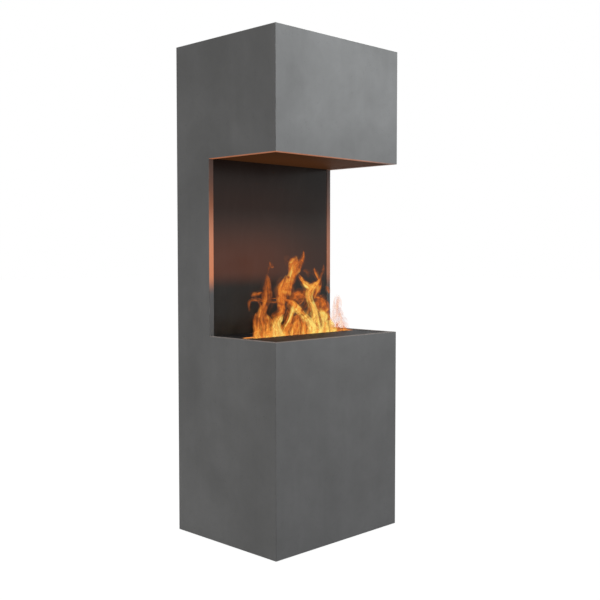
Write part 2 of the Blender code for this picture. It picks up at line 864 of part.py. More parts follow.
def mist_nozzle(material):
    """The cover of the mist chamber with the long flat chimney that ends in the flame slot."""
    half_x = INSERT_LENGTH / 2 - INSERT_SHEET - SEAT_GAP
    half_y = INSERT_DEPTH / 2 - INSERT_SHEET - SEAT_GAP
    cover = piece(
        "mist_nozzle",
        block_shape(
            (-half_x, INSERT_Y - half_y, COVER_UNDER), (half_x, INSERT_Y + half_y, COVER_TOP)
        ),
        material,
    )
    outer_x = NOZZLE_LENGTH / 2
    outer_y = NOZZLE_WIDTH / 2
    middle = (COVER_UNDER + COVER_TOP) / 2
    chimney = block_shape(
        (-outer_x, SLOT_Y - outer_y, middle), (outer_x, SLOT_Y + outer_y, NOZZLE_TOP)
    )
    join(cover, chimney, "chimney")
    inner_x = outer_x - NOZZLE_WALL
    inner_y = outer_y - NOZZLE_WALL
    throat = block_shape(
        (-inner_x, SLOT_Y - inner_y, COVER_UNDER - CUT_OVERRUN),
        (inner_x, SLOT_Y + inner_y, NOZZLE_TOP + CUT_OVERRUN),
    )
    return cut(cover, throat, "throat")


def lamp_bar(name, side, bar_finish, lens_finish):
    """An upright finned bar with its lens, on one side of the nozzle."""
    centre = SLOT_Y + side * LAMP_OFFSET
    near = centre - side * LAMP_WIDTH / 2
    far = centre + side * LAMP_WIDTH / 2
    groove = far - side * LAMP_FIN_DEPTH
    profile = [(near, LAMP_UNDER), (far, LAMP_UNDER)]
    step = LAMP_HEIGHT / (2 * LAMP_FIN_COUNT - 1)
    for index in range(LAMP_FIN_COUNT - 1):
        start = LAMP_UNDER + step * (2 * index + 1)
        profile += [(far, start), (groove, start), (groove, start + step), (far, start + step)]
    profile += [(far, LAMP_TOP), (near, LAMP_TOP)]
    half = NOZZLE_LENGTH / 2
    bar = bmesh.new()
    add_loft(bar, [(-half, y, z) for y, z in profile], [(half, y, z) for y, z in profile])
    piece(f"lamp_bar_{name}", bar, bar_finish)
    lens_under = LAMP_TOP + SEAT_GAP
    half_width = LAMP_WIDTH / 2
    lens_profile = [
        (centre - half_width, lens_under),
        (centre + half_width, lens_under),
        (centre + half_width, lens_under + LENS_HEIGHT - LENS_SHOULDER),
        (centre + half_width - LENS_SHOULDER, lens_under + LENS_HEIGHT),
        (centre - half_width + LENS_SHOULDER, lens_under + LENS_HEIGHT),
        (centre - half_width, lens_under + LENS_HEIGHT - LENS_SHOULDER),
    ]
    lens = bmesh.new()
    add_loft(lens, [(-half, y, z) for y, z in lens_profile], [(half, y, z) for y, z in lens_profile])
    piece(f"lamp_lens_{name}", lens, lens_finish)


def fan(name, x, frame_finish, rotor_finish):
    """A square axial fan: its frame with the motor plate, and the rotor that turns in it."""
    half = FAN_SIZE / 2
    frame = piece(
        f"fan_frame_{name}",
        block_shape((x - half, FAN_FRONT, FAN_Z - half), (x + half, FAN_BACK, FAN_Z + half)),
        frame_finish,
    )
    bore = rod_shape(
        (x, FAN_FRONT - CUT_OVERRUN, FAN_Z), FAN_DEPTH + 2 * CUT_OVERRUN, FAN_BORE_RADIUS, "Y"
    )
    cut(frame, bore, "bore")
    motor_front = FAN_BACK - FAN_MOTOR_THICKNESS
    struts = bmesh.new()
    reach = (half + FAN_BORE_RADIUS) / 2
    width = FAN_STRUT / 2
    add_block(
        struts,
        (x - reach, motor_front, FAN_Z - width),
        (x + reach, FAN_BACK - SEAT_GAP, FAN_Z + width),
    )
    join(frame, struts, "strut_across")
    upright = block_shape(
        (x - width, motor_front, FAN_Z - reach), (x + width, FAN_BACK - SEAT_GAP, FAN_Z + reach)
    )
    join(frame, upright, "strut_upright")
    motor = rod_shape(
        (x, motor_front - SEAT_GAP, FAN_Z), FAN_MOTOR_THICKNESS, FAN_HUB_RADIUS, "Y", SMALL_SIDES
    )
    join(frame, motor, "motor_plate")
    bearing = rod_shape(
        (x, motor_front - CUT_OVERRUN, FAN_Z),
        FAN_MOTOR_THICKNESS + 2 * CUT_OVERRUN,
        FAN_SHAFT_RADIUS + SEAT_GAP,
        "Y",
        SMALL_SIDES,
    )
    cut(frame, bearing, "bearing")
    hub_start = motor_front - SMALL_CLEARANCE - FAN_HUB_LENGTH
    rotor = piece(
        f"fan_rotor_{name}",
        rod_shape((x, hub_start, FAN_Z), FAN_HUB_LENGTH, FAN_HUB_RADIUS, "Y", SMALL_SIDES),
        rotor_finish,
        origin=(x, hub_start, FAN_Z),
        smooth=True,
    )
    blades = bmesh.new()
    root = FAN_HUB_RADIUS - SMALL_CLEARANCE
    thickness = FAN_BLADE_THICKNESS / 2
    chord = FAN_BLADE_LENGTH / 2
    pitch = Matrix.Rotation(math.radians(FAN_BLADE_PITCH_DEG), 4, "X")
    middle = Vector((x, hub_start + FAN_HUB_LENGTH / 2, FAN_Z))
    for index in range(FAN_BLADE_COUNT):
        made = add_block(blades, (root, -chord, -thickness), (FAN_BLADE_RADIUS, chord, thickness))
        turn = Matrix.Rotation(math.tau * index / FAN_BLADE_COUNT, 4, "Y")
        bmesh.ops.transform(blades, matrix=Matrix.Translation(middle) @ turn @ pitch, verts=made)
    join(rotor, blades, "blades")
    shaft = rod_shape(
        (x, hub_start + FAN_HUB_LENGTH / 2, FAN_Z),
        FAN_HUB_LENGTH / 2 + SMALL_CLEARANCE + FAN_MOTOR_THICKNESS,
        FAN_SHAFT_RADIUS,
        "Y",
        SMALL_SIDES,
    )
    join(rotor, shaft, "shaft")


def level_sensor(stem_finish, float_finish):
    """The sensor stem with its two collars, and the float that slides between them."""
    base = TROUGH_FLOOR + SEAT_GAP
    stem = piece(
        "level_sensor_stem",
        rod_shape(
            (SENSOR_X, SENSOR_Y, base),
            COVER_UNDER - SEAT_GAP - base,
            SENSOR_RADIUS,
            sides=SMALL_SIDES,
        ),
        stem_finish,
        smooth=True,
    )
    low_collar = base + SENSOR_COLLAR
    float_under = low_collar + SENSOR_COLLAR + SEAT_GAP
    high_collar = float_under + FLOAT_HEIGHT + FLOAT_TRAVEL + SEAT_GAP
    collars = bmesh.new()
    for z in (low_collar, high_collar):
        add_rod(
            collars,
            (SENSOR_X, SENSOR_Y, z),
            SENSOR_COLLAR,
            SENSOR_COLLAR_RADIUS,
            sides=SMALL_SIDES,
        )
    join(stem, collars, "collars")
    slider = piece(
        "level_float",
        rod_shape((SENSOR_X, SENSOR_Y, float_under), FLOAT_HEIGHT, FLOAT_RADIUS),
        float_finish,
        origin=(SENSOR_X, SENSOR_Y, float_under),
        smooth=True,
    )
    hole = rod_shape(
        (SENSOR_X, SENSOR_Y, float_under - CUT_OVERRUN),
        FLOAT_HEIGHT + 2 * CUT_OVERRUN,
        SENSOR_RADIUS + SEAT_GAP,
        sides=SMALL_SIDES,
    )
    cut(slider, hole, "hole")


def filler(neck_finish, flap_finish, pin_finish, tube_finish):
    """The filler neck in the hearth, its hinged flap, the flap's pin and the tube to the tank."""
    half_x = FILLER_LENGTH / 2
    half_y = FILLER_WIDTH / 2
    neck = piece(
        "filler_neck",
        block_shape(
            (-half_x, FILLER_Y - half_y, FILLER_UNDER), (half_x, FILLER_Y + half_y, HEARTH_TOP)
        ),
        neck_finish,
    )
    spout = rod_shape((0, SPOUT_Y, FILLER_UNDER - SPOUT_LENGTH), SPOUT_LENGTH + FILLER_FLOOR, SPOUT_RADIUS)
    join(neck, spout, "spout")
    pocket_x = half_x - FILLER_WALL
    pocket_near = FILLER_Y - half_y + FILLER_WALL
    pocket_far = FILLER_Y + half_y - FILLER_WALL
    ledge = FLAP_UNDER - SEAT_GAP
    above = HEARTH_TOP + CUT_OVERRUN
    pocket = block_shape((-pocket_x, pocket_near, ledge), (pocket_x, pocket_far, above))
    cut(neck, pocket, "pocket")
    groove_near = FLAP_AXIS_Y - FLAP_BARREL_RADIUS - SEAT_GAP
    groove_under = FLAP_AXIS_Z - FLAP_BARREL_RADIUS - SEAT_GAP
    groove = block_shape(
        (-pocket_x, groove_near, groove_under), (pocket_x, pocket_far, ledge + SMALL_CLEARANCE)
    )
    cut(neck, groove, "groove")
    throat = block_shape(
        (-pocket_x + FILLER_LEDGE, pocket_near + FILLER_LEDGE, FILLER_UNDER + FILLER_FLOOR),
        (pocket_x - FILLER_LEDGE, groove_near - FILLER_LEDGE, ledge + SMALL_CLEARANCE),
    )
    cut(neck, throat, "throat")
    bore = rod_shape(
        (0, SPOUT_Y, FILLER_UNDER - SPOUT_LENGTH - CUT_OVERRUN),
        SPOUT_LENGTH + FILLER_FLOOR + 2 * CUT_OVERRUN,
        SPOUT_BORE,
    )
    cut(neck, bore, "bore")
    pin_hole = rod_shape(
        (-half_x - CUT_OVERRUN, FLAP_AXIS_Y, FLAP_AXIS_Z),
        FILLER_LENGTH + 2 * CUT_OVERRUN,
        FLAP_PIN_RADIUS + SEAT_GAP,
        "X",
        SMALL_SIDES,
    )
    cut(neck, pin_hole, "pin_holes")
    piece(
        "flap_pin",
        rod_shape(
            (-half_x + SEAT_GAP, FLAP_AXIS_Y, FLAP_AXIS_Z),
            FILLER_LENGTH - 2 * SEAT_GAP,
            FLAP_PIN_RADIUS,
            "X",
            SMALL_SIDES,
        ),
        pin_finish,
        smooth=True,
    )
    flap_x = pocket_x - SMALL_CLEARANCE / 2
    flap_near = pocket_near + SMALL_CLEARANCE / 2
    flap = piece(
        "filler_flap",
        block_shape((-flap_x, flap_near, FLAP_UNDER), (flap_x, FLAP_AXIS_Y, HEARTH_TOP)),
        flap_finish,
        origin=(0, FLAP_AXIS_Y, FLAP_AXIS_Z),
    )
    barrel = rod_shape(
        (-flap_x, FLAP_AXIS_Y, FLAP_AXIS_Z), 2 * flap_x, FLAP_BARREL_RADIUS, "X", SMALL_SIDES
    )
    join(flap, barrel, "barrel")
    ridge_near = flap_near + FLAP_RIDGE_WIDTH
    ridge = block_shape(
        (-FLAP_RIDGE_LENGTH / 2, ridge_near, HEARTH_TOP - SMALL_CLEARANCE),
        (FLAP_RIDGE_LENGTH / 2, ridge_near + FLAP_RIDGE_WIDTH, HEARTH_TOP + FLAP_RIDGE_HEIGHT),
    )
    join(flap, ridge, "ridge")
    flap_bore = rod_shape(
        (-flap_x - CUT_OVERRUN, FLAP_AXIS_Y, FLAP_AXIS_Z),
        2 * flap_x + 2 * CUT_OVERRUN,
        FLAP_PIN_RADIUS + SEAT_GAP,
        "X",
        SMALL_SIDES,
    )
    cut(flap, flap_bore, "bore")
    tube_under = TANK_TOP + SEAT_GAP
    tube_length = FILLER_UNDER - SEAT_GAP - tube_under
    tube = piece(
        "fill_tube",
        rod_shape((0, SPOUT_Y, tube_under), tube_length, SPOUT_RADIUS + SEAT_GAP + TUBE_WALL),
        tube_finish,
        smooth=True,
    )
    inside = rod_shape(
        (0, SPOUT_Y, tube_under - CUT_OVERRUN),
        tube_length + 2 * CUT_OVERRUN,
        SPOUT_RADIUS + SEAT_GAP,
    )
    cut(tube, inside, "inside")


def water_tank(tank_finish, cap_finish):
    """The moulded tank on the base board, with its cap that turns on the inspection neck."""
    shape = bmesh.new()
    add_prism(
        shape,
        rounded_outline(0, TANK_Y, TANK_WIDTH, TANK_DEPTH, TANK_CORNER),
        TANK_UNDER,
        TANK_TOP,
    )
    tank = piece("water_tank", shape, tank_finish)
    necks = bmesh.new()
    root = TANK_TOP - TANK_WALL / 2
    add_rod(necks, (0, SPOUT_Y, root), COLLAR_HEIGHT, SPOUT_RADIUS)
    add_rod(necks, (CAP_X, CAP_Y, root), CAP_NECK_HEIGHT, CAP_NECK_RADIUS)
    join(tank, necks, "necks")
    inside = bmesh.new()
    add_prism(
        inside,
        rounded_outline(
            0,
            TANK_Y,
            TANK_WIDTH - 2 * TANK_WALL,
            TANK_DEPTH - 2 * TANK_WALL,
            TANK_CORNER - TANK_WALL,
        ),
        TANK_UNDER + TANK_WALL,
        TANK_TOP - TANK_WALL,
    )
    cut(tank, inside, "inside")
    bores = bmesh.new()
    low = TANK_TOP - TANK_WALL - CUT_OVERRUN
    add_rod(bores, (0, SPOUT_Y, low), COLLAR_HEIGHT + 3 * CUT_OVERRUN, SPOUT_BORE)
    add_rod(bores, (CAP_X, CAP_Y, low), CAP_NECK_HEIGHT + 3 * CUT_OVERRUN, CAP_NECK_BORE)
    wall_run = TANK_WALL + 2 * CUT_OVERRUN
    add_rod(
        bores,
        (RETURN_TANK_X, RETURN_TANK_Y, low),
        wall_run,
        SPIGOT_RADIUS,
        sides=SMALL_SIDES,
    )
    add_rod(
        bores,
        (TANK_WIDTH / 2 - TANK_WALL - CUT_OVERRUN, TANK_Y, PUMP_Z),
        wall_run,
        SPIGOT_RADIUS,
        "X",
        SMALL_SIDES,
    )
    add_rod(
        bores,
        (VALVE_X, TANK_BACK - TANK_WALL - CUT_OVERRUN, VALVE_Z),
        wall_run,
        SPIGOT_RADIUS,
        "Y",
        SMALL_SIDES,
    )
    cut(tank, bores, "bores")
    cap_under = TANK_TOP + SEAT_GAP
    cap = piece(
        "tank_cap",
        rod_shape((CAP_X, CAP_Y, cap_under), CAP_HEIGHT, CAP_RADIUS, sides=CAP_SIDES),
        cap_finish,
        origin=(CAP_X, CAP_Y, cap_under),
    )
    neck_top = root + CAP_NECK_HEIGHT
    hollow = rod_shape(
        (CAP_X, CAP_Y, cap_under - CUT_OVERRUN),
        neck_top + SEAT_GAP - cap_under + CUT_OVERRUN,
        CAP_NECK_RADIUS + SEAT_GAP,
    )
    cut(cap, hollow, "hollow")


def feed_pump(material):
    """The small pump beside the tank: body, cover, foot, inlet and outlet."""
    face = TANK_WIDTH / 2 + SEAT_GAP
    start = face + PUMP_STANDOFF
    pump = piece(
        "feed_pump",
        rod_shape((start, TANK_Y, PUMP_Z), PUMP_LENGTH, PUMP_RADIUS, "X"),
        material,
        smooth=True,
    )
    cover = rod_shape(
        (start - PUMP_COVER / 2, TANK_Y, PUMP_Z), PUMP_COVER, PUMP_COVER_RADIUS, "X"
    )
    join(pump, cover, "cover")
    foot = block_shape(
        (start + PUMP_COVER, TANK_Y - PUMP_FOOT_WIDTH / 2, TANK_UNDER),
        (start + PUMP_LENGTH - PUMP_COVER, TANK_Y + PUMP_FOOT_WIDTH / 2, PUMP_Z - PUMP_RADIUS / 2),
    )
    join(pump, foot, "foot")
    inlet = rod_shape(
        (face, TANK_Y, PUMP_Z), PUMP_STANDOFF + PUMP_COVER, SPIGOT_RADIUS, "X", SMALL_SIDES
    )
    join(pump, inlet, "inlet")
    outlet = rod_shape(
        (start + PUMP_LENGTH / 2, TANK_Y, PUMP_Z + PUMP_RADIUS / 2),
        PUMP_RADIUS / 2 + SPIGOT_LENGTH,
        SPIGOT_RADIUS,
        sides=SMALL_SIDES,
    )
    return join(pump, outlet, "outlet")


def hoses(material):
    """The feed hose from the pump to the trough, and the overflow hose back to the tank."""
    pump_x = TANK_WIDTH / 2 + SEAT_GAP + PUMP_STANDOFF + PUMP_LENGTH / 2
    pump_top = PUMP_Z + PUMP_RADIUS + SPIGOT_LENGTH + SEAT_GAP
    rise = INSERT_FLOOR + FEED_HEIGHT - pump_top
    behind = TANK_Y - INSERT_BACK
    feed_route = [
        (
            pump_x + x_share * (FEED_X - pump_x),
            INSERT_BACK + y_share * behind,
            pump_top + z_share * rise,
        )
        for x_share, y_share, z_share in FEED_ROUTE_SHARES
    ]
    feed_route.append((FEED_X, INSERT_BACK - FEED_REACH, INSERT_FLOOR + FEED_HEIGHT))
    hose("feed_hose", feed_route, HOSE_RADIUS, material)
    start = INSERT_FLOOR - SEAT_GAP
    drop = start - TANK_TOP - SEAT_GAP
    return_route = [
        (
            RETURN_X + across_share * (RETURN_TANK_X - RETURN_X),
            INSERT_Y + across_share * (RETURN_TANK_Y - INSERT_Y),
            start - drop_share * drop,
        )
        for across_share, drop_share in RETURN_ROUTE_SHARES
    ]
    hose("overflow_hose", return_route, HOSE_RADIUS, material)


def drain_valve(body_finish, lever_finish):
    """The tap on the back of the tank, and the lever that turns on its stem."""
    start = TANK_BACK + SEAT_GAP
    body_start = start + VALVE_STANDOFF
    body_end = body_start + VALVE_BODY_LENGTH
    body = piece(
        "drain_valve",
        rod_shape(
            (VALVE_X, body_start, VALVE_Z), VALVE_BODY_LENGTH, VALVE_BODY_RADIUS, "Y"
        ),
        body_finish,
        smooth=True,
    )
    inlet = rod_shape(
        (VALVE_X, start, VALVE_Z), VALVE_STANDOFF + LEVER_THICKNESS, SPIGOT_RADIUS, "Y", SMALL_SIDES
    )
    join(body, inlet, "inlet")
    outlet = rod_shape(
        (VALVE_X, body_start + VALVE_BODY_LENGTH / 2, VALVE_Z - VALVE_OUTLET_LENGTH),
        VALVE_OUTLET_LENGTH,
        VALVE_OUTLET_RADIUS,
        sides=SMALL_SIDES,
    )
    join(body, outlet, "outlet")
    stem = rod_shape(
        (VALVE_X, body_end - SMALL_CLEARANCE, VALVE_Z),
        VALVE_STEM_LENGTH,
        VALVE_STEM_RADIUS,
        "Y",
        SMALL_SIDES,
    )
    join(body, stem, "stem")
    lever_start = body_end + SEAT_GAP
    lever = piece(
        "drain_lever",
        rod_shape(
            (VALVE_X, lever_start, VALVE_Z), LEVER_THICKNESS, LEVER_HUB_RADIUS, "Y", SMALL_SIDES
        ),
        lever_finish,
        origin=(VALVE_X, lever_start, VALVE_Z),
    )
    arm = block_shape(
        (VALVE_X, lever_start + SEAT_GAP, VALVE_Z - LEVER_WIDTH / 2),
        (
            VALVE_X + LEVER_LENGTH,
            lever_start + LEVER_THICKNESS - SEAT_GAP,
            VALVE_Z + LEVER_WIDTH / 2,
        ),
    )
    join(lever, arm, "arm")
    hole = rod_shape(
        (VALVE_X, lever_start - CUT_OVERRUN, VALVE_Z),
        LEVER_THICKNESS + 2 * CUT_OVERRUN,
        VALVE_STEM_RADIUS + SEAT_GAP,
        "Y",
        SMALL_SIDES,
    )
    cut(lever, hole, "hole")


def button_places():
    names = ("power_button", "flame_up_button", "flame_down_button")
    return [(name, STRIP_X + (index - 1) * BUTTON_PITCH) for index, name in enumerate(names)]


def control_strip(strip_finish, button_finish, board_finish):
    """The strip in the hearth with its three push buttons and the circuit board under them."""
    half_x = STRIP_LENGTH / 2
    half_y = STRIP_WIDTH / 2
    under = STRIP_TOP_Z - STRIP_DEPTH
    strip = piece(
        "control_strip",
        block_shape(
            (STRIP_X - half_x, FILLER_Y - half_y, under),
            (STRIP_X + half_x, FILLER_Y + half_y, STRIP_TOP_Z),
        ),
        strip_finish,
    )
    inner_x = half_x - STRIP_WALL
    inner_y = half_y - STRIP_WALL
    hollow = block_shape(
        (STRIP_X - inner_x, FILLER_Y - inner_y, under - CUT_OVERRUN),
        (STRIP_X + inner_x, FILLER_Y + inner_y, STRIP_UNDERSIDE),
    )
    cut(strip, hollow, "hollow")
    bores = bmesh.new()
    for _, x in button_places():
        add_rod(
            bores,
            (x, FILLER_Y, STRIP_UNDERSIDE - CUT_OVERRUN),
            STRIP_TOP + 2 * CUT_OVERRUN,
            BUTTON_RADIUS + SEAT_GAP,
        )
    cut(strip, bores, "bores")
    flange_top = STRIP_UNDERSIDE - SEAT_GAP
    flange_under = flange_top - BUTTON_FLANGE
    post_under = flange_under - BUTTON_POST
    for name, x in button_places():
        button = piece(
            name,
            rod_shape(
                (x, FILLER_Y, flange_under),
                STRIP_TOP_Z + BUTTON_PROUD - flange_under,
                BUTTON_RADIUS,
            ),
            button_finish,
            origin=(x, FILLER_Y, flange_under),
            smooth=True,
        )
        flange = rod_shape((x, FILLER_Y, flange_under), BUTTON_FLANGE, BUTTON_FLANGE_RADIUS)
        join(button, flange, "flange")
        post = rod_shape(
            (x, FILLER_Y, post_under),
            BUTTON_POST + BUTTON_FLANGE,
            BUTTON_POST_RADIUS,
            sides=SMALL_SIDES,
        )
        join(button, post, "post")
    board_top = post_under - BUTTON_TRAVEL - SEAT_GAP
    piece(
        "button_board",
        block_shape(
            (
                STRIP_X - inner_x + SEAT_GAP,
                FILLER_Y - inner_y + SEAT_GAP,
                board_top - CIRCUIT_BOARD,
            ),
            (STRIP_X + inner_x - SEAT_GAP, FILLER_Y + inner_y - SEAT_GAP, board_top),
        ),
        board_finish,
    )


def control_unit(material):
    """The closed box with the power supply and the controls, screwed down by two ears."""
    half_x = UNIT_LENGTH / 2
    half_y = UNIT_WIDTH / 2
    unit = piece(
        "control_unit",
        block_shape(
            (UNIT_X - half_x, UNIT_Y - half_y, TANK_UNDER),
            (UNIT_X + half_x, UNIT_Y + half_y, TANK_UNDER + UNIT_HEIGHT),
        ),
        material,
    )
    ears = block_shape(
        (UNIT_X - half_x / 2, UNIT_Y - half_y - UNIT_EAR, TANK_UNDER),
        (UNIT_X + half_x / 2, UNIT_Y + half_y + UNIT_EAR, TANK_UNDER + UNIT_EAR_THICKNESS),
    )
    return join(unit, ears, "ears")


def mains_inlet(body_finish, rocker_finish):
    """The socket module in the rear panel, and the rocker switch that tilts in it."""
    half_x = INLET_WIDTH / 2
    half_z = INLET_HEIGHT / 2
    flange_front = REAR_FACE + SEAT_GAP
    flange_back = flange_front + INLET_FLANGE
    body = piece(
        "mains_inlet",
        block_shape(
            (INLET_X - half_x, flange_back - INLET_DEPTH, INLET_Z - half_z),
            (INLET_X + half_x, flange_back, INLET_Z + half_z),
        ),
        body_finish,
    )
    flange = block_shape(
        (INLET_X - half_x - INLET_LIP, flange_front, INLET_Z - half_z - INLET_LIP),
        (INLET_X + half_x + INLET_LIP, flange_back, INLET_Z + half_z + INLET_LIP),
    )
    join(body, flange, "flange")
    socket_z = INLET_Z - SOCKET_DROP
    rocker_z = INLET_Z + ROCKER_RISE
    axis_y = flange_back - ROCKER_SINK
    well_x = ROCKER_WIDTH / 2 + SEAT_GAP
    well_z = ROCKER_HEIGHT / 2 + ROCKER_CLEARANCE
    wells = bmesh.new()
    add_block(
        wells,
        (INLET_X - SOCKET_WIDTH / 2, flange_back - SOCKET_DEPTH, socket_z - SOCKET_HEIGHT / 2),
        (INLET_X + SOCKET_WIDTH / 2, flange_back + CUT_OVERRUN, socket_z + SOCKET_HEIGHT / 2),
    )
    add_block(
        wells,
        (INLET_X - well_x, axis_y - ROCKER_BACK - ROCKER_CLEARANCE, rocker_z - well_z),
        (INLET_X + well_x, flange_back + CUT_OVERRUN, rocker_z + well_z),
    )
    cut(body, wells, "wells")
    pin_reach = (well_x + half_x) / 2
    pin_hole = rod_shape(
        (INLET_X - pin_reach - SEAT_GAP, axis_y - ROCKER_BACK / 2, rocker_z),
        2 * pin_reach + 2 * SEAT_GAP,
        ROCKER_PIN_RADIUS + SEAT_GAP,
        "X",
        SMALL_SIDES,
    )
    cut(body, pin_hole, "pin_hole")
    pivot = Vector((INLET_X, axis_y - ROCKER_BACK / 2, rocker_z))
    face = ROCKER_BACK / 2 + ROCKER_FRONT
    profile = [
        (-ROCKER_BACK / 2, -ROCKER_HEIGHT / 2),
        (-ROCKER_BACK / 2, ROCKER_HEIGHT / 2),
        (face, ROCKER_HEIGHT / 2),
        (face - ROCKER_DIP, 0),
        (face, -ROCKER_HEIGHT / 2),
    ]
    half = ROCKER_WIDTH / 2
    shape = bmesh.new()
    add_loft(shape, [(-half, y, z) for y, z in profile], [(half, y, z) for y, z in profile])
    rocker = piece("mains_rocker", shape, rocker_finish)
    pins = rod_shape((-pin_reach, 0, 0), 2 * pin_reach, ROCKER_PIN_RADIUS, "X", SMALL_SIDES)
    join(rocker, pins, "pins")
    tilt = Matrix.Rotation(math.radians(ROCKER_TILT_DEG), 4, "X")
    for item in (rocker, rocker.modifiers["pins"].object):
        item.matrix_world = Matrix.Translation(pivot) @ tilt


def hinge_leaf(name, leaf_side, own, material, origin=(0, 0, 0)):
    """One leaf of the piano hinge with its own knuckles."""
    start = HINGE_KNUCKLE_RADIUS + SMALL_CLEARANCE / 2
    near, far = sorted(
        (HINGE_X + leaf_side * start, HINGE_X + leaf_side * (start + HINGE_LEAF_WIDTH))
    )
    leaf = piece(
        name,
        block_shape(
            (near, LEAF_FRONT, DOOR_MIDDLE - HINGE_LENGTH / 2),
            (far, LEAF_FRONT + HINGE_LEAF, DOOR_MIDDLE + HINGE_LENGTH / 2),
        ),
        material,
        origin=origin,
    )
    pitch = HINGE_LENGTH / HINGE_KNUCKLE_COUNT
    bottom = DOOR_MIDDLE - HINGE_LENGTH / 2
    for index in range(own, HINGE_KNUCKLE_COUNT, 2):
        z = bottom + index * pitch + SEAT_GAP
        tie_near, tie_far = sorted((HINGE_X, HINGE_X + leaf_side * (start + SMALL_CLEARANCE)))
        tie = block_shape(
            (tie_near, LEAF_FRONT + SEAT_GAP / 2, z + SEAT_GAP),
            (tie_far, LEAF_FRONT + HINGE_LEAF - SEAT_GAP / 2, z + pitch - 3 * SEAT_GAP),
        )
        join(leaf, tie, f"tie_{index}")
        knuckle = rod_shape(
            (HINGE_X, HINGE_Y, z),
            pitch - 2 * SEAT_GAP,
            HINGE_KNUCKLE_RADIUS,
            sides=SMALL_SIDES,
        )
        join(leaf, knuckle, f"knuckle_{index}")
    return leaf


def service_door(door_finish, hinge_finish, latch_finish):
    """The door in the rear panel, its piano hinge and its quarter-turn latch."""
    half = DOOR_WIDTH / 2 - DOOR_CLEARANCE
    axis = (HINGE_X, HINGE_Y, DOOR_MIDDLE)
    door = piece(
        "service_door",
        block_shape(
            (-half, INSIDE_BACK, DOOR_SILL + DOOR_CLEARANCE),
            (half, REAR_FACE, DOOR_SILL_TOP - DOOR_CLEARANCE),
        ),
        door_finish,
        origin=axis,
    )
    latch_bore = rod_shape(
        (LATCH_X, INSIDE_BACK - CUT_OVERRUN, DOOR_MIDDLE),
        REAR_BOARD + 2 * CUT_OVERRUN,
        LATCH_SHAFT_RADIUS + SEAT_GAP,
        "Y",
        SMALL_SIDES,
    )
    cut(door, latch_bore, "latch_bore")
    fixed = hinge_leaf("door_hinge_fixed", -1, 0, hinge_finish)
    pin = rod_shape(
        (HINGE_X, HINGE_Y, DOOR_MIDDLE - HINGE_LENGTH / 2 + SMALL_CLEARANCE),
        HINGE_LENGTH - 2 * SMALL_CLEARANCE,
        HINGE_PIN_RADIUS,
        sides=SMALL_SIDES,
    )
    join(fixed, pin, "pin")
    moving = hinge_leaf("door_hinge_moving", 1, 1, hinge_finish, origin=axis)
    bore = rod_shape(
        (HINGE_X, HINGE_Y, DOOR_MIDDLE - HINGE_LENGTH / 2 - CUT_OVERRUN),
        HINGE_LENGTH + 2 * CUT_OVERRUN,
        HINGE_PIN_RADIUS + SEAT_GAP,
        sides=SMALL_SIDES,
    )
    cut(moving, bore, "bore")
    knob_start = REAR_FACE + SEAT_GAP
    latch = piece(
        "door_latch",
        rod_shape(
            (LATCH_X, knob_start, DOOR_MIDDLE),
            LATCH_KNOB_DEPTH - LATCH_GRIP,
            LATCH_KNOB_RADIUS,
            "Y",
        ),
        latch_finish,
        origin=(LATCH_X, knob_start, DOOR_MIDDLE),
        smooth=True,
    )
    grip_half = LATCH_KNOB_RADIUS - SMALL_CLEARANCE
    grip = block_shape(
        (LATCH_X - LATCH_GRIP / 2, knob_start + SEAT_GAP, DOOR_MIDDLE - grip_half),
        (LATCH_X + LATCH_GRIP / 2, knob_start + LATCH_KNOB_DEPTH, DOOR_MIDDLE + grip_half),
    )
    join(latch, grip, "grip")
    cam_back = INSIDE_BACK - SEAT_GAP
    cam_front = cam_back - LATCH_CAM
    shaft = rod_shape(
        (LATCH_X, cam_front + SEAT_GAP, DOOR_MIDDLE),
        knob_start + SEAT_GAP - cam_front,
        LATCH_SHAFT_RADIUS,
        "Y",
        SMALL_SIDES,
    )
    join(latch, shaft, "shaft")
    cam = block_shape(
        (LATCH_X - LATCH_CAM_WIDTH / 2, cam_front, DOOR_MIDDLE - LATCH_CAM_WIDTH / 2),
        (LATCH_X + LATCH_CAM_WIDTH / 2, cam_back, DOOR_MIDDLE + LATCH_CAM_LENGTH),
    )
    join(latch, cam, "cam")


def levelling_feet(material):
    """Four pads on threaded stems. Each foot slides down out of its seat in the base board."""
    pad_height = FOOT_SEAT - SEAT_GAP
    for number, (x, y) in enumerate(foot_places(), start=1):
        foot = piece(
            f"levelling_foot_{number}",
            rod_shape((x, y, 0), pad_height, FOOT_PAD_RADIUS),
            material,
            origin=(x, y, 0),
            smooth=True,
        )
        stem = rod_shape(
            (x, y, pad_height / 2),
            pad_height / 2 + FOOT_STEM_LENGTH,
            FOOT_STEM_RADIUS,
            sides=SMALL_SIDES,
        )
        join(foot, stem, "stem")


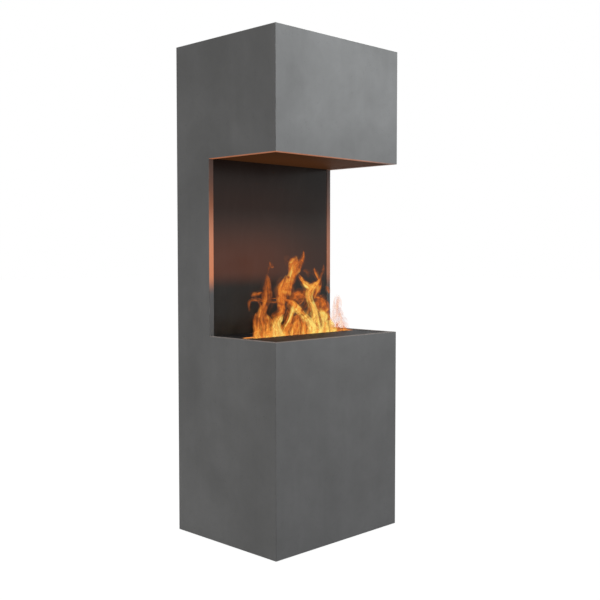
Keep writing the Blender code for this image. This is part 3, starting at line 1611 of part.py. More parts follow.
def main():
    clear_scene()
    concrete = finish("concrete_skin", (0.27, 0.27, 0.265), 0.75)
    raw_board = finish("raw_board", (0.36, 0.27, 0.18), 0.8)
    dark_plate = finish("dark_plate", (0.03, 0.026, 0.023), 0.5)
    pane = finish("dark_pane", (0.02, 0.018, 0.017), 0.12)
    sheet = finish("sheet_steel", (0.45, 0.45, 0.46), 0.4, 1.0)
    black_board = finish("black_board", (0.022, 0.022, 0.022), 0.7)
    black = finish("black_plastic", (0.02, 0.02, 0.02), 0.5)
    foot_plastic = finish("foot_plastic", (0.03, 0.03, 0.03), 0.6)
    pale = finish("pale_plastic", (0.72, 0.72, 0.70), 0.45)
    lamp = finish("lamp_aluminium", (0.6, 0.6, 0.6), 0.35, 1.0)
    lens = finish("orange_lens", (0.9, 0.32, 0.06), 0.3)
    rubber = finish("rubber_hose", (0.05, 0.05, 0.05), 0.8)
    brass = finish("valve_brass", (0.65, 0.45, 0.16), 0.35, 1.0)
    red = finish("lever_red", (0.5, 0.03, 0.02), 0.45)
    circuit = finish("circuit_green", (0.02, 0.16, 0.06), 0.5)

    side_panel("side_panel_left", -1, concrete)
    side_panel("side_panel_right", 1, concrete)
    front_panel("front_panel_lower", FLOOR_GAP, NICHE_FLOOR, NICHE_FLOOR, concrete)
    outer_top = CASING_HEIGHT - SEAT_GAP
    front_panel("front_panel_upper", NICHE_TOP, outer_top, outer_top - BOARD, concrete)
    top_panel(concrete)
    base_panel(raw_board)
    rear_panel(black_board)
    niche_boards(raw_board, raw_board)
    niche_linings(dark_plate, pane)

    insert_housing(sheet)
    water_trough(black)
    for name, x in (("left", -MIST_PITCH), ("middle", 0), ("right", MIST_PITCH)):
        mist_maker(f"mist_maker_{name}", x, brass)
    mist_nozzle(sheet)
    lamp_bar("front", -1, lamp, lens)
    lamp_bar("rear", 1, lamp, lens)
    fan("left", -FAN_X, black, pale)
    fan("right", FAN_X, black, pale)
    level_sensor(sheet, pale)

    filler(dark_plate, dark_plate, sheet, rubber)
    water_tank(pale, black)
    feed_pump(black)
    hoses(rubber)
    drain_valve(brass, red)

    control_strip(black, sheet, circuit)
    control_unit(black)
    mains_inlet(black, red)
    service_door(black_board, sheet, sheet)
    levelling_feet(foot_plastic)


main()
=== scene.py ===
"""The water vapour fireplace, dressed: boards, niche, flames, fittings, rear side and studio."""

import json
import logging
import math
from dataclasses import dataclass
from enum import Enum
from typing import Iterable, Sequence

import bmesh
import bpy
import numpy as np
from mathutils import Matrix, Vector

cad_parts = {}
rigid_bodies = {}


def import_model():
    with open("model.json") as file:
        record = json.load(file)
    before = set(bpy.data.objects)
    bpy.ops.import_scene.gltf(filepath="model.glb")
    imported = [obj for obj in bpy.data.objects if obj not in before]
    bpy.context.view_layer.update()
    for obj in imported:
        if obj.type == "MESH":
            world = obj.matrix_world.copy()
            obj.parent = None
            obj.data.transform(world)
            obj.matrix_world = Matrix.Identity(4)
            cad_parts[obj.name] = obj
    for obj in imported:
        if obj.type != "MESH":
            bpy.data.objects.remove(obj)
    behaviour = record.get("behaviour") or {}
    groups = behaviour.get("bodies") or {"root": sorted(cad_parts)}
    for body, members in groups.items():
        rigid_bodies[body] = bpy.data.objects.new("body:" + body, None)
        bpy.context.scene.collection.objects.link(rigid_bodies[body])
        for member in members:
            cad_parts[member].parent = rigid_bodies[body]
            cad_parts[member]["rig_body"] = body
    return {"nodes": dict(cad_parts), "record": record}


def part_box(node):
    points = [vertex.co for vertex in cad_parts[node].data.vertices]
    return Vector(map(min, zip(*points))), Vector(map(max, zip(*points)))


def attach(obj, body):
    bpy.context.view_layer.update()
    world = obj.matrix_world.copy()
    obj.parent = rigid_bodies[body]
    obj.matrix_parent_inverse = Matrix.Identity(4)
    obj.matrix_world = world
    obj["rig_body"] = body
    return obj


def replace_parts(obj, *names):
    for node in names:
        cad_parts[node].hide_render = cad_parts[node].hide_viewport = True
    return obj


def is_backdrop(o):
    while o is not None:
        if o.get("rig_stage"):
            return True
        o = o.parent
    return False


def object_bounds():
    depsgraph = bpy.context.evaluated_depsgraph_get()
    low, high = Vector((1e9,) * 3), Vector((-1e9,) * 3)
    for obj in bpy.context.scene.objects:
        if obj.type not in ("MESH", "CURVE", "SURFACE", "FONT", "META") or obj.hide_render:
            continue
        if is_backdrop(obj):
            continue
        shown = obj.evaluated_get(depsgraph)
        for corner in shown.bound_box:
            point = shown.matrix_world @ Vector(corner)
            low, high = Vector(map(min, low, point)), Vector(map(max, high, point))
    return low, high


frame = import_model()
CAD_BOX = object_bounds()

LOG = logging.getLogger("fireplace")
MM = 0.001
BLACK = (0.0, 0.0, 0.0)
WHITE = (1.0, 1.0, 1.0)
SLOT_OF_NODE = {row["node"]: row["material_slot"] for row in frame["record"]["subparts"]}

Colour = tuple[float, float, float]
Point = tuple[float, float, float]
Steps = Sequence[tuple[float, float]]
Place = Sequence[float] | np.ndarray


class Axis(Enum):
    """A world axis: the places of the two axes across it, and then its own."""

    X = (1, 2, 0)
    Y = (0, 2, 1)
    Z = (0, 1, 2)


class Signal:
    """One output of a shader node, which can be added, subtracted and multiplied."""

    def __init__(self, recipe: "Recipe", socket: bpy.types.NodeSocket) -> None:
        """Keeps the recipe that the socket belongs to, and the socket."""
        self.recipe = recipe
        self.socket = socket

    def __add__(self, other: "Signal | float") -> "Signal":
        """This signal plus the other."""
        return self.recipe.math("ADD", self, other)

    def __radd__(self, other: float) -> "Signal":
        """A number plus this signal."""
        return self.recipe.math("ADD", other, self)

    def __sub__(self, other: "Signal | float") -> "Signal":
        """This signal minus the other."""
        return self.recipe.math("SUBTRACT", self, other)

    def __rsub__(self, other: float) -> "Signal":
        """A number minus this signal."""
        return self.recipe.math("SUBTRACT", other, self)

    def __mul__(self, other: "Signal | float") -> "Signal":
        """This signal times the other."""
        return self.recipe.math("MULTIPLY", self, other)

    def __rmul__(self, other: float) -> "Signal":
        """A number times this signal."""
        return self.recipe.math("MULTIPLY", other, self)


class Recipe:
    """The node tree of a material or a world, written as expressions."""

    def __init__(self, owner: "bpy.types.Material | bpy.types.World") -> None:
        """Starts an empty tree.

        Args:
            owner: the new material or world.
        """
        owner.use_nodes = True
        self.owner = owner
        self.tree = owner.node_tree
        self.tree.nodes.clear()
        kind = "World" if isinstance(owner, bpy.types.World) else "Material"
        self.output = self.tree.nodes.new(f"ShaderNodeOutput{kind}")

    def node(
        self,
        kind: str,
        settings: dict[str, object] | None = None,
        sockets: dict[str | int, object] | None = None,
    ) -> bpy.types.Node:
        """Adds any node: its settings first, then the values or links of its sockets.

        Args:
            kind: the node's type.
            settings: the node's own settings, with a ramp's stops as (place, colour) pairs.
            sockets: a number, colour or Signal for each named or numbered socket.

        Returns:
            The new node.
        """
        made = self.tree.nodes.new(kind)
        for key, value in (settings or {}).items():
            if key == "stops":
                self._set_stops(made.color_ramp, value)
            else:
                setattr(made, key, value)
        for key, value in (sockets or {}).items():
            self._feed(made.inputs[key], value)
        return made

    def _set_stops(self, ramp: bpy.types.ColorRamp, stops: Sequence[tuple[float, Colour]]) -> None:
        """Gives a colour ramp its stops.

        Args:
            ramp: the ramp.
            stops: places and colours, from low to high.
        """
        while len(ramp.elements) < len(stops):
            ramp.elements.new(1.0)
        for element, (place, colour) in zip(ramp.elements, stops):
            element.position = place
            element.color = (*colour, 1.0)

    def _feed(self, socket: bpy.types.NodeSocket, value: object) -> None:
        """Links a Signal to a socket, or sets the socket's own value.

        Args:
            socket: the socket.
            value: a Signal, a number, a vector or a colour.
        """
        if isinstance(value, Signal):
            self.tree.links.new(value.socket, socket)
        elif socket.type == "RGBA":
            socket.default_value = (*value, 1.0)
        else:
            socket.default_value = value

    def signal(self, output: int | str, kind: str, *node_parts: dict | None) -> Signal:
        """One output of a new node."""
        return Signal(self, self.node(kind, *node_parts).outputs[output])

    def math(self, operation: str, *values: "Signal | float") -> Signal:
        """One Math node on signals and numbers."""
        return self.signal(0, "ShaderNodeMath", {"operation": operation}, dict(enumerate(values)))

    def place(self) -> Signal:
        """The point on the object, in metres, in the object's own frame."""
        return self.signal("Object", "ShaderNodeTexCoord")

    def scaled(self, vector: Signal, amounts: Point) -> Signal:
        """A vector stretched along the axes."""
        return self.signal(0, "ShaderNodeMapping", None, {"Vector": vector, "Scale": amounts})

    def parts(self, vector: Signal) -> tuple[Signal, Signal, Signal]:
        """The x, y and z of a vector."""
        split = self.node("ShaderNodeSeparateXYZ", None, {"Vector": vector})
        return tuple(Signal(self, socket) for socket in split.outputs)

    def attribute(self, name: str, output: str = "Fac") -> Signal:
        """A mesh attribute, read as one number or as a Vector."""
        return self.signal(output, "ShaderNodeAttribute", {"attribute_name": name})

    def noise(
        self,
        vector: Signal,
        scale: float,
        detail: float = 3.0,
        roughness: float = 0.5,
        distortion: float = 0.0,
    ) -> Signal:
        """Cloudy noise from 0 to 1: its fineness, its finer layers, their strength, its warp."""
        sockets = {"Vector": vector, "Scale": scale, "Detail": detail, "Roughness": roughness}
        return self.signal(0, "ShaderNodeTexNoise", None, sockets | {"Distortion": distortion})

    def cells(self, vector: Signal, scale: float, output: str = "Distance") -> Signal:
        """The distance to the nearest of many scattered points, or that point's Color."""
        return self.signal(output, "ShaderNodeTexVoronoi", None, {"Vector": vector, "Scale": scale})

    def chips(self, vector: Signal, scale: float) -> Signal:
        """A flat random shade for each scattered cell."""
        colour = self.cells(vector, scale, "Color")
        return self.signal(0, "ShaderNodeSeparateColor", None, {"Color": colour})

    def level(self, value: Signal, low: float, high: float) -> Signal:
        """A smooth rise from 0 at low to 1 at high. It falls where low is above high."""
        sockets = {"Value": value, "From Min": low, "From Max": high}
        return self.signal(0, "ShaderNodeMapRange", {"interpolation_type": "SMOOTHSTEP"}, sockets)

    def ramp(self, value: Signal, stops: Sequence[tuple[float, Colour]]) -> Signal:
        """A colour that follows a value through its stops."""
        return self.signal(0, "ShaderNodeValToRGB", {"stops": stops}, {"Fac": value})

    def blend(
        self, share: "Signal | float", first: "Signal | Colour", second: "Signal | Colour"
    ) -> Signal:
        """A colour between the first and the second, by share."""
        sockets = {0: share, 6: first, 7: second}
        return self.signal(2, "ShaderNodeMix", {"data_type": "RGBA"}, sockets)

    def bump(self, height: Signal, depth: float) -> Signal:
        """A normal that leans as a surface of this height would, with the depth in metres."""
        return self.signal(0, "ShaderNodeBump", None, {"Height": height, "Distance": depth})

    def surface(self, **sockets: object) -> bpy.types.Material:
        """Ends the tree in a Principled surface, which gives off light where it has its colour.

        Args:
            **sockets: the surface's inputs, with underscores for the spaces in their names.

        Returns:
            The finished material.
        """
        if "Emission_Color" in sockets:
            sockets = {"Emission_Strength": 1.0} | sockets
        named = {key.replace("_", " "): value for key, value in sockets.items()}
        body = self.node("ShaderNodeBsdfPrincipled", None, named)
        self.tree.links.new(body.outputs["BSDF"], self.output.inputs["Surface"])
        return self.owner

    def seen_mix(self, share: float, lighting: bpy.types.Node, seen: bpy.types.Node) -> None:
        """Ends the tree in one shader that lights, and another that is seen.

        The eye, reflections and clear materials see the second: the greatest of the three rays'
        flags, times the share.

        Args:
            share: how much of the second shader they see.
            lighting: the shader that all other light meets.
            seen: the shader that is seen.
        """
        rays = self.node("ShaderNodeLightPath").outputs
        camera, glossy, clear = (
            Signal(self, rays[f"Is {ray} Ray"]) for ray in ("Camera", "Glossy", "Transmission")
        )
        either = self.math("MAXIMUM", self.math("MAXIMUM", camera, glossy), clear)
        shaders = [Signal(self, shader.outputs[0]) for shader in (lighting, seen)]
        sockets = {0: either * share, 1: shaders[0], 2: shaders[1]}
        mixed = self.node("ShaderNodeMixShader", None, sockets)
        self.tree.links.new(mixed.outputs[0], self.output.inputs["Surface"])


def strip_light(recipe: Recipe, height: Signal) -> Signal:
    """How much lamp light reaches a height on the niche's side edges, from 0 to 1.

    The light comes up past the slot's lip, so it starts at a sharp height, and then fades
    towards the ceiling: a smooth step up times the weighted sum of two smooth steps down.

    Args:
        recipe: the material's tree.
        height: the height above the floor, in metres.

    Returns:
        The share of the full light.
    """
    fade = 0.85 * recipe.level(height, 1.245, 0.975) + 0.15 * recipe.level(height, 1.36, 1.20)
    sharp = recipe.level(height, 0.845, 0.915)
    return sharp * fade


def pane_light(recipe: Recipe, height: Signal) -> Signal:
    """How much lamp light reaches a height on the back pane, from 0 to 1.

    It starts as sharply as on the edges, a little higher, and fades in two steps.

    Args:
        recipe: the material's tree.
        height: the height above the floor, in metres.

    Returns:
        The share of the full light.
    """
    near = recipe.level(height, 0.960, 1.140)
    far = recipe.level(height, 1.140, 1.290)
    return recipe.level(height, 0.862, 0.925) * (1.0 - 0.80 * near - 0.14 * far)


@dataclass(frozen=True)
class Finish:
    """What every finish has: a name, and a tree in which its look is written."""

    name: str

    def start(self) -> tuple[Recipe, Signal]:
        """An empty recipe for the material, and the point on the object."""
        recipe = Recipe(bpy.data.materials.new(self.name))
        return recipe, recipe.place()


@dataclass(frozen=True)
class ConcreteSkin(Finish):
    """A concrete-look board skin: clouds, faint streaks, pores, fine grain and worn arrises, with painted
    light: lighter low, darker high, a painted highlight on the sill's edges, and painted shade and lamp
    light on the niche's edges.
    """

    name: str = "concrete_skin"
    dark: Colour = (0.148, 0.148, 0.145)
    middle: Colour = (0.186, 0.186, 0.183)
    pale: Colour = (0.232, 0.232, 0.229)
    pore: Colour = (0.105, 0.105, 0.103)
    worn: Colour = (0.255, 0.255, 0.250)
    sill_highlight: Colour = (0.305, 0.272, 0.248)
    glow: Colour = (0.490, 0.112, 0.008)

    def build(self) -> bpy.types.Material:
        """Makes the material.

        Returns:
            The material.
        """
        recipe, place = self.start()
        x, _, height = recipe.parts(place)
        clouds = recipe.noise(place, 2.3, 5.0, 0.55, 0.5)
        patches = recipe.noise(place, 9.0, 4.0, 0.6, 0.3)
        streaks = recipe.noise(recipe.scaled(place, (16.0, 16.0, 1.4)), 1.0, 4.0, 0.6)
        grain = recipe.noise(place, 620.0, 2.0, 0.6)
        shade = 0.50 * clouds + 0.28 * patches + 0.10 * streaks + 0.12 * grain
        # Painted shading: the skin is lighter towards the bottom and darker towards the top, for how the
        # light falls on the boards.
        shade = shade + 0.050 - 0.112 * recipe.level(height, 0.15, 1.45)
        colour = recipe.ramp(shade, ((0.34, self.dark), (0.50, self.middle), (0.66, self.pale)))
        sparse = recipe.level(recipe.noise(place, 34.0, 1.0), 0.56, 0.62)
        pit = recipe.level(recipe.cells(place, 150.0), 0.24, 0.12) * sparse
        colour = recipe.blend(pit * 0.6, colour, self.pore)
        away = recipe.level(x, -0.1, 0.1)
        rim = recipe.attribute("rim")
        # Painted highlight: the top edges at the sill turn lighter and warmer, for the light from above and
        # from the lamps.
        colour = recipe.blend(recipe.attribute("sill"), colour, self.sill_highlight)
        # Painted shade: the niche's side edges are darkened, more towards the right, for the shade inside
        # the niche.
        colour = recipe.blend(rim * (0.34 + 0.16 * away), colour, BLACK)
        rubbed = recipe.level(recipe.noise(place, 26.0, 4.0), 0.42, 0.62)
        colour = recipe.blend(recipe.attribute("arris") * rubbed * 0.5, colour, self.worn)
        lip = recipe.attribute("lip") * (1.0 - 0.75 * recipe.level(x, 0.08, 0.29))
        light = rim * (strip_light(recipe, height) * (1.0 - 0.46 * away)) + lip
        return recipe.surface(
            Base_Color=colour,
            Roughness=0.58 + 0.24 * patches,
            Specular_IOR_Level=0.32,
            Normal=recipe.bump(0.5 * grain + 0.5 * patches - pit, 0.00022),
            Emission_Color=recipe.blend(recipe.math("MINIMUM", light, 1.0), BLACK, self.glow),
        )


@dataclass(frozen=True)
class RawBoard(Finish):
    """The unfaced chipboard inside the casing: pressed chips of mixed tone."""

    name: str = "raw_board"
    dark: Colour = (0.19, 0.125, 0.070)
    pale: Colour = (0.46, 0.345, 0.225)

    def build(self) -> bpy.types.Material:
        """Makes the material.

        Returns:
            The material.
        """
        recipe, place = self.start()
        coarse = recipe.chips(recipe.scaled(place, (1.0, 1.0, 2.2)), 380.0)
        fine = recipe.chips(place, 1100.0)
        dust = recipe.noise(place, 40.0, 4.0, 0.6)
        shade = 0.45 * coarse + 0.30 * fine + 0.25 * dust
        return recipe.surface(
            Base_Color=recipe.ramp(shade, ((0.0, self.dark), (0.95, self.pale))),
            Roughness=0.78 + 0.14 * dust,
            Specular_IOR_Level=0.25,
            Normal=recipe.bump(coarse + fine, 0.00012),
        )


@dataclass(frozen=True)
class BlackBoard(Finish):
    """Black-painted hardboard: a fine pressed screen, a dull paint film and rubbed patches."""

    name: str = "black_board"
    base: Colour = (0.020, 0.020, 0.021)
    rubbed: Colour = (0.052, 0.051, 0.050)
    screen_pitch: float = 0.0016

    def build(self) -> bpy.types.Material:
        """Makes the material.

        Returns:
            The material.
        """
        recipe, place = self.start()
        turns = 2.0 * math.pi / self.screen_pitch
        x, _, z = recipe.parts(place)
        weave = recipe.math("SINE", x * turns) * recipe.math("SINE", z * turns)
        patches = recipe.noise(place, 14.0, 5.0, 0.62)
        wear = recipe.level(patches, 0.48, 0.70) * 0.6
        wear = recipe.math("MAXIMUM", wear, recipe.attribute("arris") * 0.5)
        return recipe.surface(
            Base_Color=recipe.blend(wear, self.base, self.rubbed),
            Roughness=0.52 + 0.20 * patches,
            Specular_IOR_Level=0.4,
            Normal=recipe.bump(0.5 * weave + patches, 0.00006),
        )


@dataclass(frozen=True)
class HearthSteel(Finish):
    """The painted steel of the hearth: a fine texture paint with dry mineral traces by the slot, and
    painted lamp light on the slot's edges and beside the slot.
    """

    name: str = "dark_plate"
    base: Colour = (0.0150, 0.0145, 0.0150)
    pale: Colour = (0.0320, 0.0300, 0.0305)
    mineral: Colour = (0.13, 0.11, 0.10)
    lip_glow: Colour = (0.88, 0.30, 0.062)
    lamp_light_spill: Colour = (0.30, 0.085, 0.018)
    slot_middle: float = -0.050
    slot_half: float = 0.024

    def build(self) -> bpy.types.Material:
        """Makes the material.

        Returns:
            The material.
        """
        recipe, place = self.start()
        x, y, _ = recipe.parts(place)
        fine = recipe.noise(place, 900.0, 2.0, 0.6)
        patches = recipe.noise(place, 22.0, 5.0, 0.6, 0.4)
        aside = recipe.math("ABSOLUTE", y - self.slot_middle) - self.slot_half
        near = recipe.level(aside, 0.040, 0.0)
        close = recipe.level(aside, 0.012, 0.0)
        colour = recipe.blend(patches, self.base, self.pale)
        traces = recipe.level(recipe.noise(place, 75.0, 5.0, 0.7), 0.58, 0.70) * near
        rim = recipe.attribute("rim")
        # Painted lamp light: the slot's edges glow, and a faint spill of that light lies beside the slot,
        # with none at the far left end.
        light = recipe.math("MAXIMUM", rim, close * 0.12 + near * 0.008)
        light = light * recipe.level(x, -0.243, -0.228)
        return recipe.surface(
            Base_Color=recipe.blend(traces * 0.35, colour, self.mineral),
            Roughness=0.50 + 0.22 * patches,
            Specular_IOR_Level=0.14,
            Normal=recipe.bump(fine + 0.3 * patches, 0.00007),
            Emission_Color=recipe.blend(light, BLACK, recipe.blend(rim, self.lamp_light_spill, self.lip_glow)),
        )


@dataclass(frozen=True)
class CeilingSteel(Finish):
    """The painted steel over the niche, with the lamps' light from below painted on as a warm glow."""

    name: str = "ceiling_plate_paint"
    base: Colour = (0.009, 0.0062, 0.0042)
    pale: Colour = (0.017, 0.0120, 0.0090)
    warm: Colour = (0.036, 0.0118, 0.0030)
    warm_middle: Colour = (0.050, 0.0155, 0.0040)

    def build(self) -> bpy.types.Material:
        """Makes the material.

        Returns:
            The material.
        """
        recipe, place = self.start()
        x, y, _ = recipe.parts(place)
        patches = recipe.noise(place, 16.0, 4.0, 0.6, 0.3)
        # Painted lamp light: the glow is strongest over the middle of the slot.
        over = recipe.level(recipe.math("ABSOLUTE", y + 0.05), 0.20, 0.0)
        over = over * recipe.level(recipe.math("ABSOLUTE", x), 0.42, 0.08)
        return recipe.surface(
            Base_Color=recipe.blend(patches, self.base, self.pale),
            Roughness=0.52 + 0.2 * patches,
            Specular_IOR_Level=0.01,
            Normal=recipe.bump(recipe.noise(place, 800.0, 2.0, 0.6), 0.00006),
            Emission_Color=recipe.blend(over, self.warm, self.warm_middle),
        )


@dataclass(frozen=True)
class SmokedPane(Finish):
    """The dark back pane: smoked glass with a faint film, and the lamps' light in it."""

    name: str = "dark_pane"
    base: Colour = (0.0240, 0.0228, 0.0205)
    filmed: Colour = (0.032, 0.0300, 0.0270)
    glow: Colour = (0.062, 0.0125, 0.0030)

    def build(self) -> bpy.types.Material:
        """Makes the material.

        Returns:
            The material.
        """
        recipe, place = self.start()
        x, _, height = recipe.parts(place)
        film = recipe.noise(recipe.scaled(place, (1.0, 1.0, 0.4)), 6.0, 5.0, 0.6, 0.6)
        dust = recipe.noise(place, 1100.0, 1.0)
        light = pane_light(recipe, height) * (1.0 - 0.64 * recipe.level(x, -0.09, 0.26))
        light = recipe.math("MINIMUM", light * (0.93 + 0.14 * film), 1.0)
        tone = recipe.blend(recipe.level(film, 0.40, 0.75), self.base, self.filmed)
        shadow = recipe.level(height, 1.22, 1.31) * recipe.level(x, 0.20, -0.10)
        return recipe.surface(
            Base_Color=recipe.blend(shadow * 0.45, tone, BLACK),
            Roughness=0.14 + 0.10 * film + 0.05 * dust,
            Specular_IOR_Level=0.13,
            Emission_Color=recipe.blend(light, BLACK, self.glow),
        )


@dataclass(frozen=True)
class SheetMetal(Finish):
    """A metal with faint rolling lines, and spangle where the sheet is zinc-coated."""

    base: Colour
    dull: Colour
    roughness: float
    spangle: float
    line_scale: Point = (6.0, 6.0, 380.0)

    def build(self) -> bpy.types.Material:
        """Makes the material.

        Returns:
            The material.
        """
        recipe, place = self.start()
        lines = recipe.noise(recipe.scaled(place, self.line_scale), 1.0, 3.0, 0.6)
        stains = recipe.noise(place, 30.0, 4.0, 0.6)
        shade = self.spangle * recipe.chips(place, 130.0) + (1.0 - self.spangle) * lines
        return recipe.surface(
            Base_Color=recipe.blend(0.7 * shade + 0.3 * stains, self.dull, self.base),
            Metallic=1.0,
            Roughness=self.roughness + 0.10 * lines + 0.08 * stains,
            Normal=recipe.bump(lines, 0.00002),
        )


@dataclass(frozen=True)
class MouldedPlastic(Finish):
    """A moulded plastic with a fine spark-eroded grain and slightly uneven gloss."""

    base: Colour
    handled: Colour
    roughness: float
    grain: float = 1400.0

    def build(self) -> bpy.types.Material:
        """Makes the material.

        Returns:
            The material.
        """
        recipe, place = self.start()
        cloud = recipe.noise(place, 28.0, 4.0, 0.6)
        return recipe.surface(
            Base_Color=recipe.blend(recipe.level(cloud, 0.35, 0.75), self.base, self.handled),
            Roughness=self.roughness + 0.14 * cloud,
            Specular_IOR_Level=0.42,
            Normal=recipe.bump(recipe.noise(place, self.grain, 1.0), 0.00003),
        )


@dataclass(frozen=True)
class LampLens(Finish):
    """The diffuser over a lamp bar, with a brighter spot over each light source."""

    name: str = "orange_lens"
    base: Colour = (0.80, 0.30, 0.07)
    between: Colour = (0.62, 0.16, 0.020)
    over: Colour = (1.0, 0.50, 0.12)
    pitch: float = 0.0125

    def build(self) -> bpy.types.Material:
        """Makes the material.

        Returns:
            The material.
        """
        recipe, place = self.start()
        x = recipe.parts(place)[0]
        wave = recipe.math("COSINE", x * (2.0 * math.pi / self.pitch)) * 0.5 + 0.5
        return recipe.surface(
            Base_Color=self.base,
            Roughness=0.28 + 0.15 * recipe.noise(place, 700.0, 2.0),
            Emission_Color=recipe.blend(recipe.level(wave, 0.35, 1.0), self.between, self.over),
            Emission_Strength=1.6,
        )


@dataclass(frozen=True)
class Vapour(Finish):
    """Lit vapour: no surface of its own, only light that is strong in the core of a tongue.

    The mesh carries three attributes: ember picks the colour, veil is how much of what lies
    behind it hides, and flow is across, along and a seed, which the streaks follow.
    """

    name: str = "lit_vapour"
    stops: tuple[tuple[float, Colour], ...] = (
        (0.00, (0.110, 0.028, 0.010)),
        (0.20, (0.280, 0.078, 0.022)),
        (0.34, (0.540, 0.120, 0.024)),
        (0.48, (0.780, 0.190, 0.028)),
        (0.66, (0.960, 0.345, 0.052)),
        (0.84, (1.000, 0.540, 0.100)),
        (1.00, (1.000, 0.780, 0.200)),
    )

    def build(self) -> bpy.types.Material:
        """Makes the material.

        Returns:
            The material.
        """
        recipe, place = self.start()
        flow = recipe.scaled(recipe.attribute("flow", "Vector"), (2.0, 15.0, 7.0))
        streaks = recipe.noise(flow, 1.0, 1.2, 0.45, 0.4)
        curls = recipe.noise(place, 42.0, 0.8, 0.5, 1.0)
        ember = recipe.attribute("ember")
        heat = ember + 1.20 * (streaks - 0.5) + 0.95 * (curls - 0.5)
        heat = recipe.math("MAXIMUM", heat, 0.70 * ember)
        clear = recipe.level(0.5 * streaks + 0.5 * curls, 0.35, 0.58)
        veil = recipe.attribute("veil") * (0.36 + 0.80 * clear)
        material = recipe.surface(
            Base_Color=BLACK,
            Roughness=1.0,
            Specular_IOR_Level=0.0,
            Emission_Color=recipe.ramp(heat, self.stops),
            Alpha=recipe.math("MINIMUM", veil, 1.0),
        )
        material.cycles.emission_sampling = "NONE"
        return material


ALL_FINISHES = (
    ConcreteSkin(),
    RawBoard(),
    BlackBoard(),
    HearthSteel(),
    CeilingSteel(),
    SmokedPane(),
    LampLens(),
    Vapour(),
    SheetMetal("sheet_steel", (0.58, 0.58, 0.59), (0.38, 0.38, 0.39), 0.32, 0.40),
    SheetMetal("valve_brass", (0.78, 0.56, 0.24), (0.45, 0.30, 0.12), 0.26, 0.10, (300.0, 6.0, 6.0)),
    SheetMetal("lamp_aluminium", (0.74, 0.74, 0.75), (0.50, 0.50, 0.51), 0.30, 0.0, (5.0, 5.0, 420.0)),
    MouldedPlastic("black_plastic", (0.017, 0.017, 0.018), (0.030, 0.030, 0.031), 0.38),
    MouldedPlastic("foot_plastic", (0.022, 0.022, 0.022), (0.042, 0.041, 0.040), 0.50),
    MouldedPlastic("pale_plastic", (0.66, 0.67, 0.66), (0.74, 0.74, 0.72), 0.34, 900.0),
    MouldedPlastic("rubber_hose", (0.030, 0.030, 0.030), (0.060, 0.058, 0.055), 0.62, 700.0),
    MouldedPlastic("lever_red", (0.42, 0.022, 0.016), (0.55, 0.05, 0.035), 0.30),
    MouldedPlastic("circuit_green", (0.012, 0.12, 0.045), (0.03, 0.20, 0.08), 0.30, 260.0),
)
FINISHES = {finish.name: finish for finish in ALL_FINISHES}


@dataclass
class Shell:
    """A closed mesh being made, as whole arrays.

    Attributes:
        points: one row of x, y and z for each corner.
        faces: arrays of corner numbers, each array holding faces of one side count.
        smooth: for each face array, which faces are shaded smooth.
        face_marks: named numbers for each face, in the order of the face arrays.
        point_marks: named numbers or vectors for each point.
    """

    points: np.ndarray
    faces: list[np.ndarray]
    smooth: list[np.ndarray]
    face_marks: dict[str, np.ndarray]
    point_marks: dict[str, np.ndarray]

    def volume(self) -> float:
        """The signed volume: the sum over face fans of a corner's product with the next two.

        Returns:
            The volume, below 0 where the faces point inwards.
        """
        total = 0.0
        for block in self.faces:
            corners = self.points[block]
            turns = np.cross(corners[:, 1:-1], corners[:, 2:])
            total += float(np.sum(turns * corners[:, :1])) / 6.0
        return total

    def outward(self) -> "Shell":
        """Turns the faces round where the volume comes out negative.

        Returns:
            This shell.
        """
        if self.volume() < 0.0:
            self.faces = [block[:, ::-1] for block in self.faces]
        return self


def joined(shells: Iterable[Shell]) -> Shell:
    """Several shells as one, with the corner numbers moved along.

    Args:
        shells: shells with the same marks.

    Returns:
        One shell that holds them all.
    """
    items = list(shells)
    starts = np.cumsum([0] + [len(item.points) for item in items[:-1]])
    faces = [block + start for item, start in zip(items, starts) for block in item.faces]
    smooth = [flags for item in items for flags in item.smooth]
    face_marks, point_marks = (
        {key: np.concatenate([marks[key] for marks in rows]) for key in rows[0]}
        for rows in ([item.face_marks for item in items], [item.point_marks for item in items])
    )
    points = np.concatenate([item.points for item in items])
    return Shell(points, faces, smooth, face_marks, point_marks)


def tube(rings: np.ndarray, marks: dict[str, np.ndarray] | None = None) -> Shell:
    """A closed skin over rings of points, with a pole in the middle of each end ring.

    Args:
        rings: ring by ring, the points round it.
        marks: named numbers or vectors for each point of the rings.

    Returns:
        The skin, right side out and shaded smooth.
    """
    count, sides = rings.shape[:2]
    number = np.arange(count * sides).reshape(count, sides)
    turned = np.roll(number, -1, axis=1)
    quads = np.stack((number[:-1], turned[:-1], turned[1:], number[1:]), axis=-1).reshape(-1, 4)
    low, high = np.full(sides, count * sides), np.full(sides, count * sides + 1)
    ends = ((turned[0], number[0], low), (number[-1], turned[-1], high))
    caps = np.concatenate([np.stack(end, axis=-1) for end in ends])
    points = np.concatenate((rings.reshape(-1, 3), rings[[0, -1]].mean(axis=1)))
    point_marks = {}
    for key, values in (marks or {}).items():
        rows = values.reshape(count * sides, *values.shape[2:])
        point_marks[key] = np.concatenate((rows, values[[0, -1]].mean(axis=1)))
    smooth = [np.ones(len(quads), bool), np.ones(len(caps), bool)]
    return Shell(points, [quads, caps], smooth, {}, point_marks).outward()


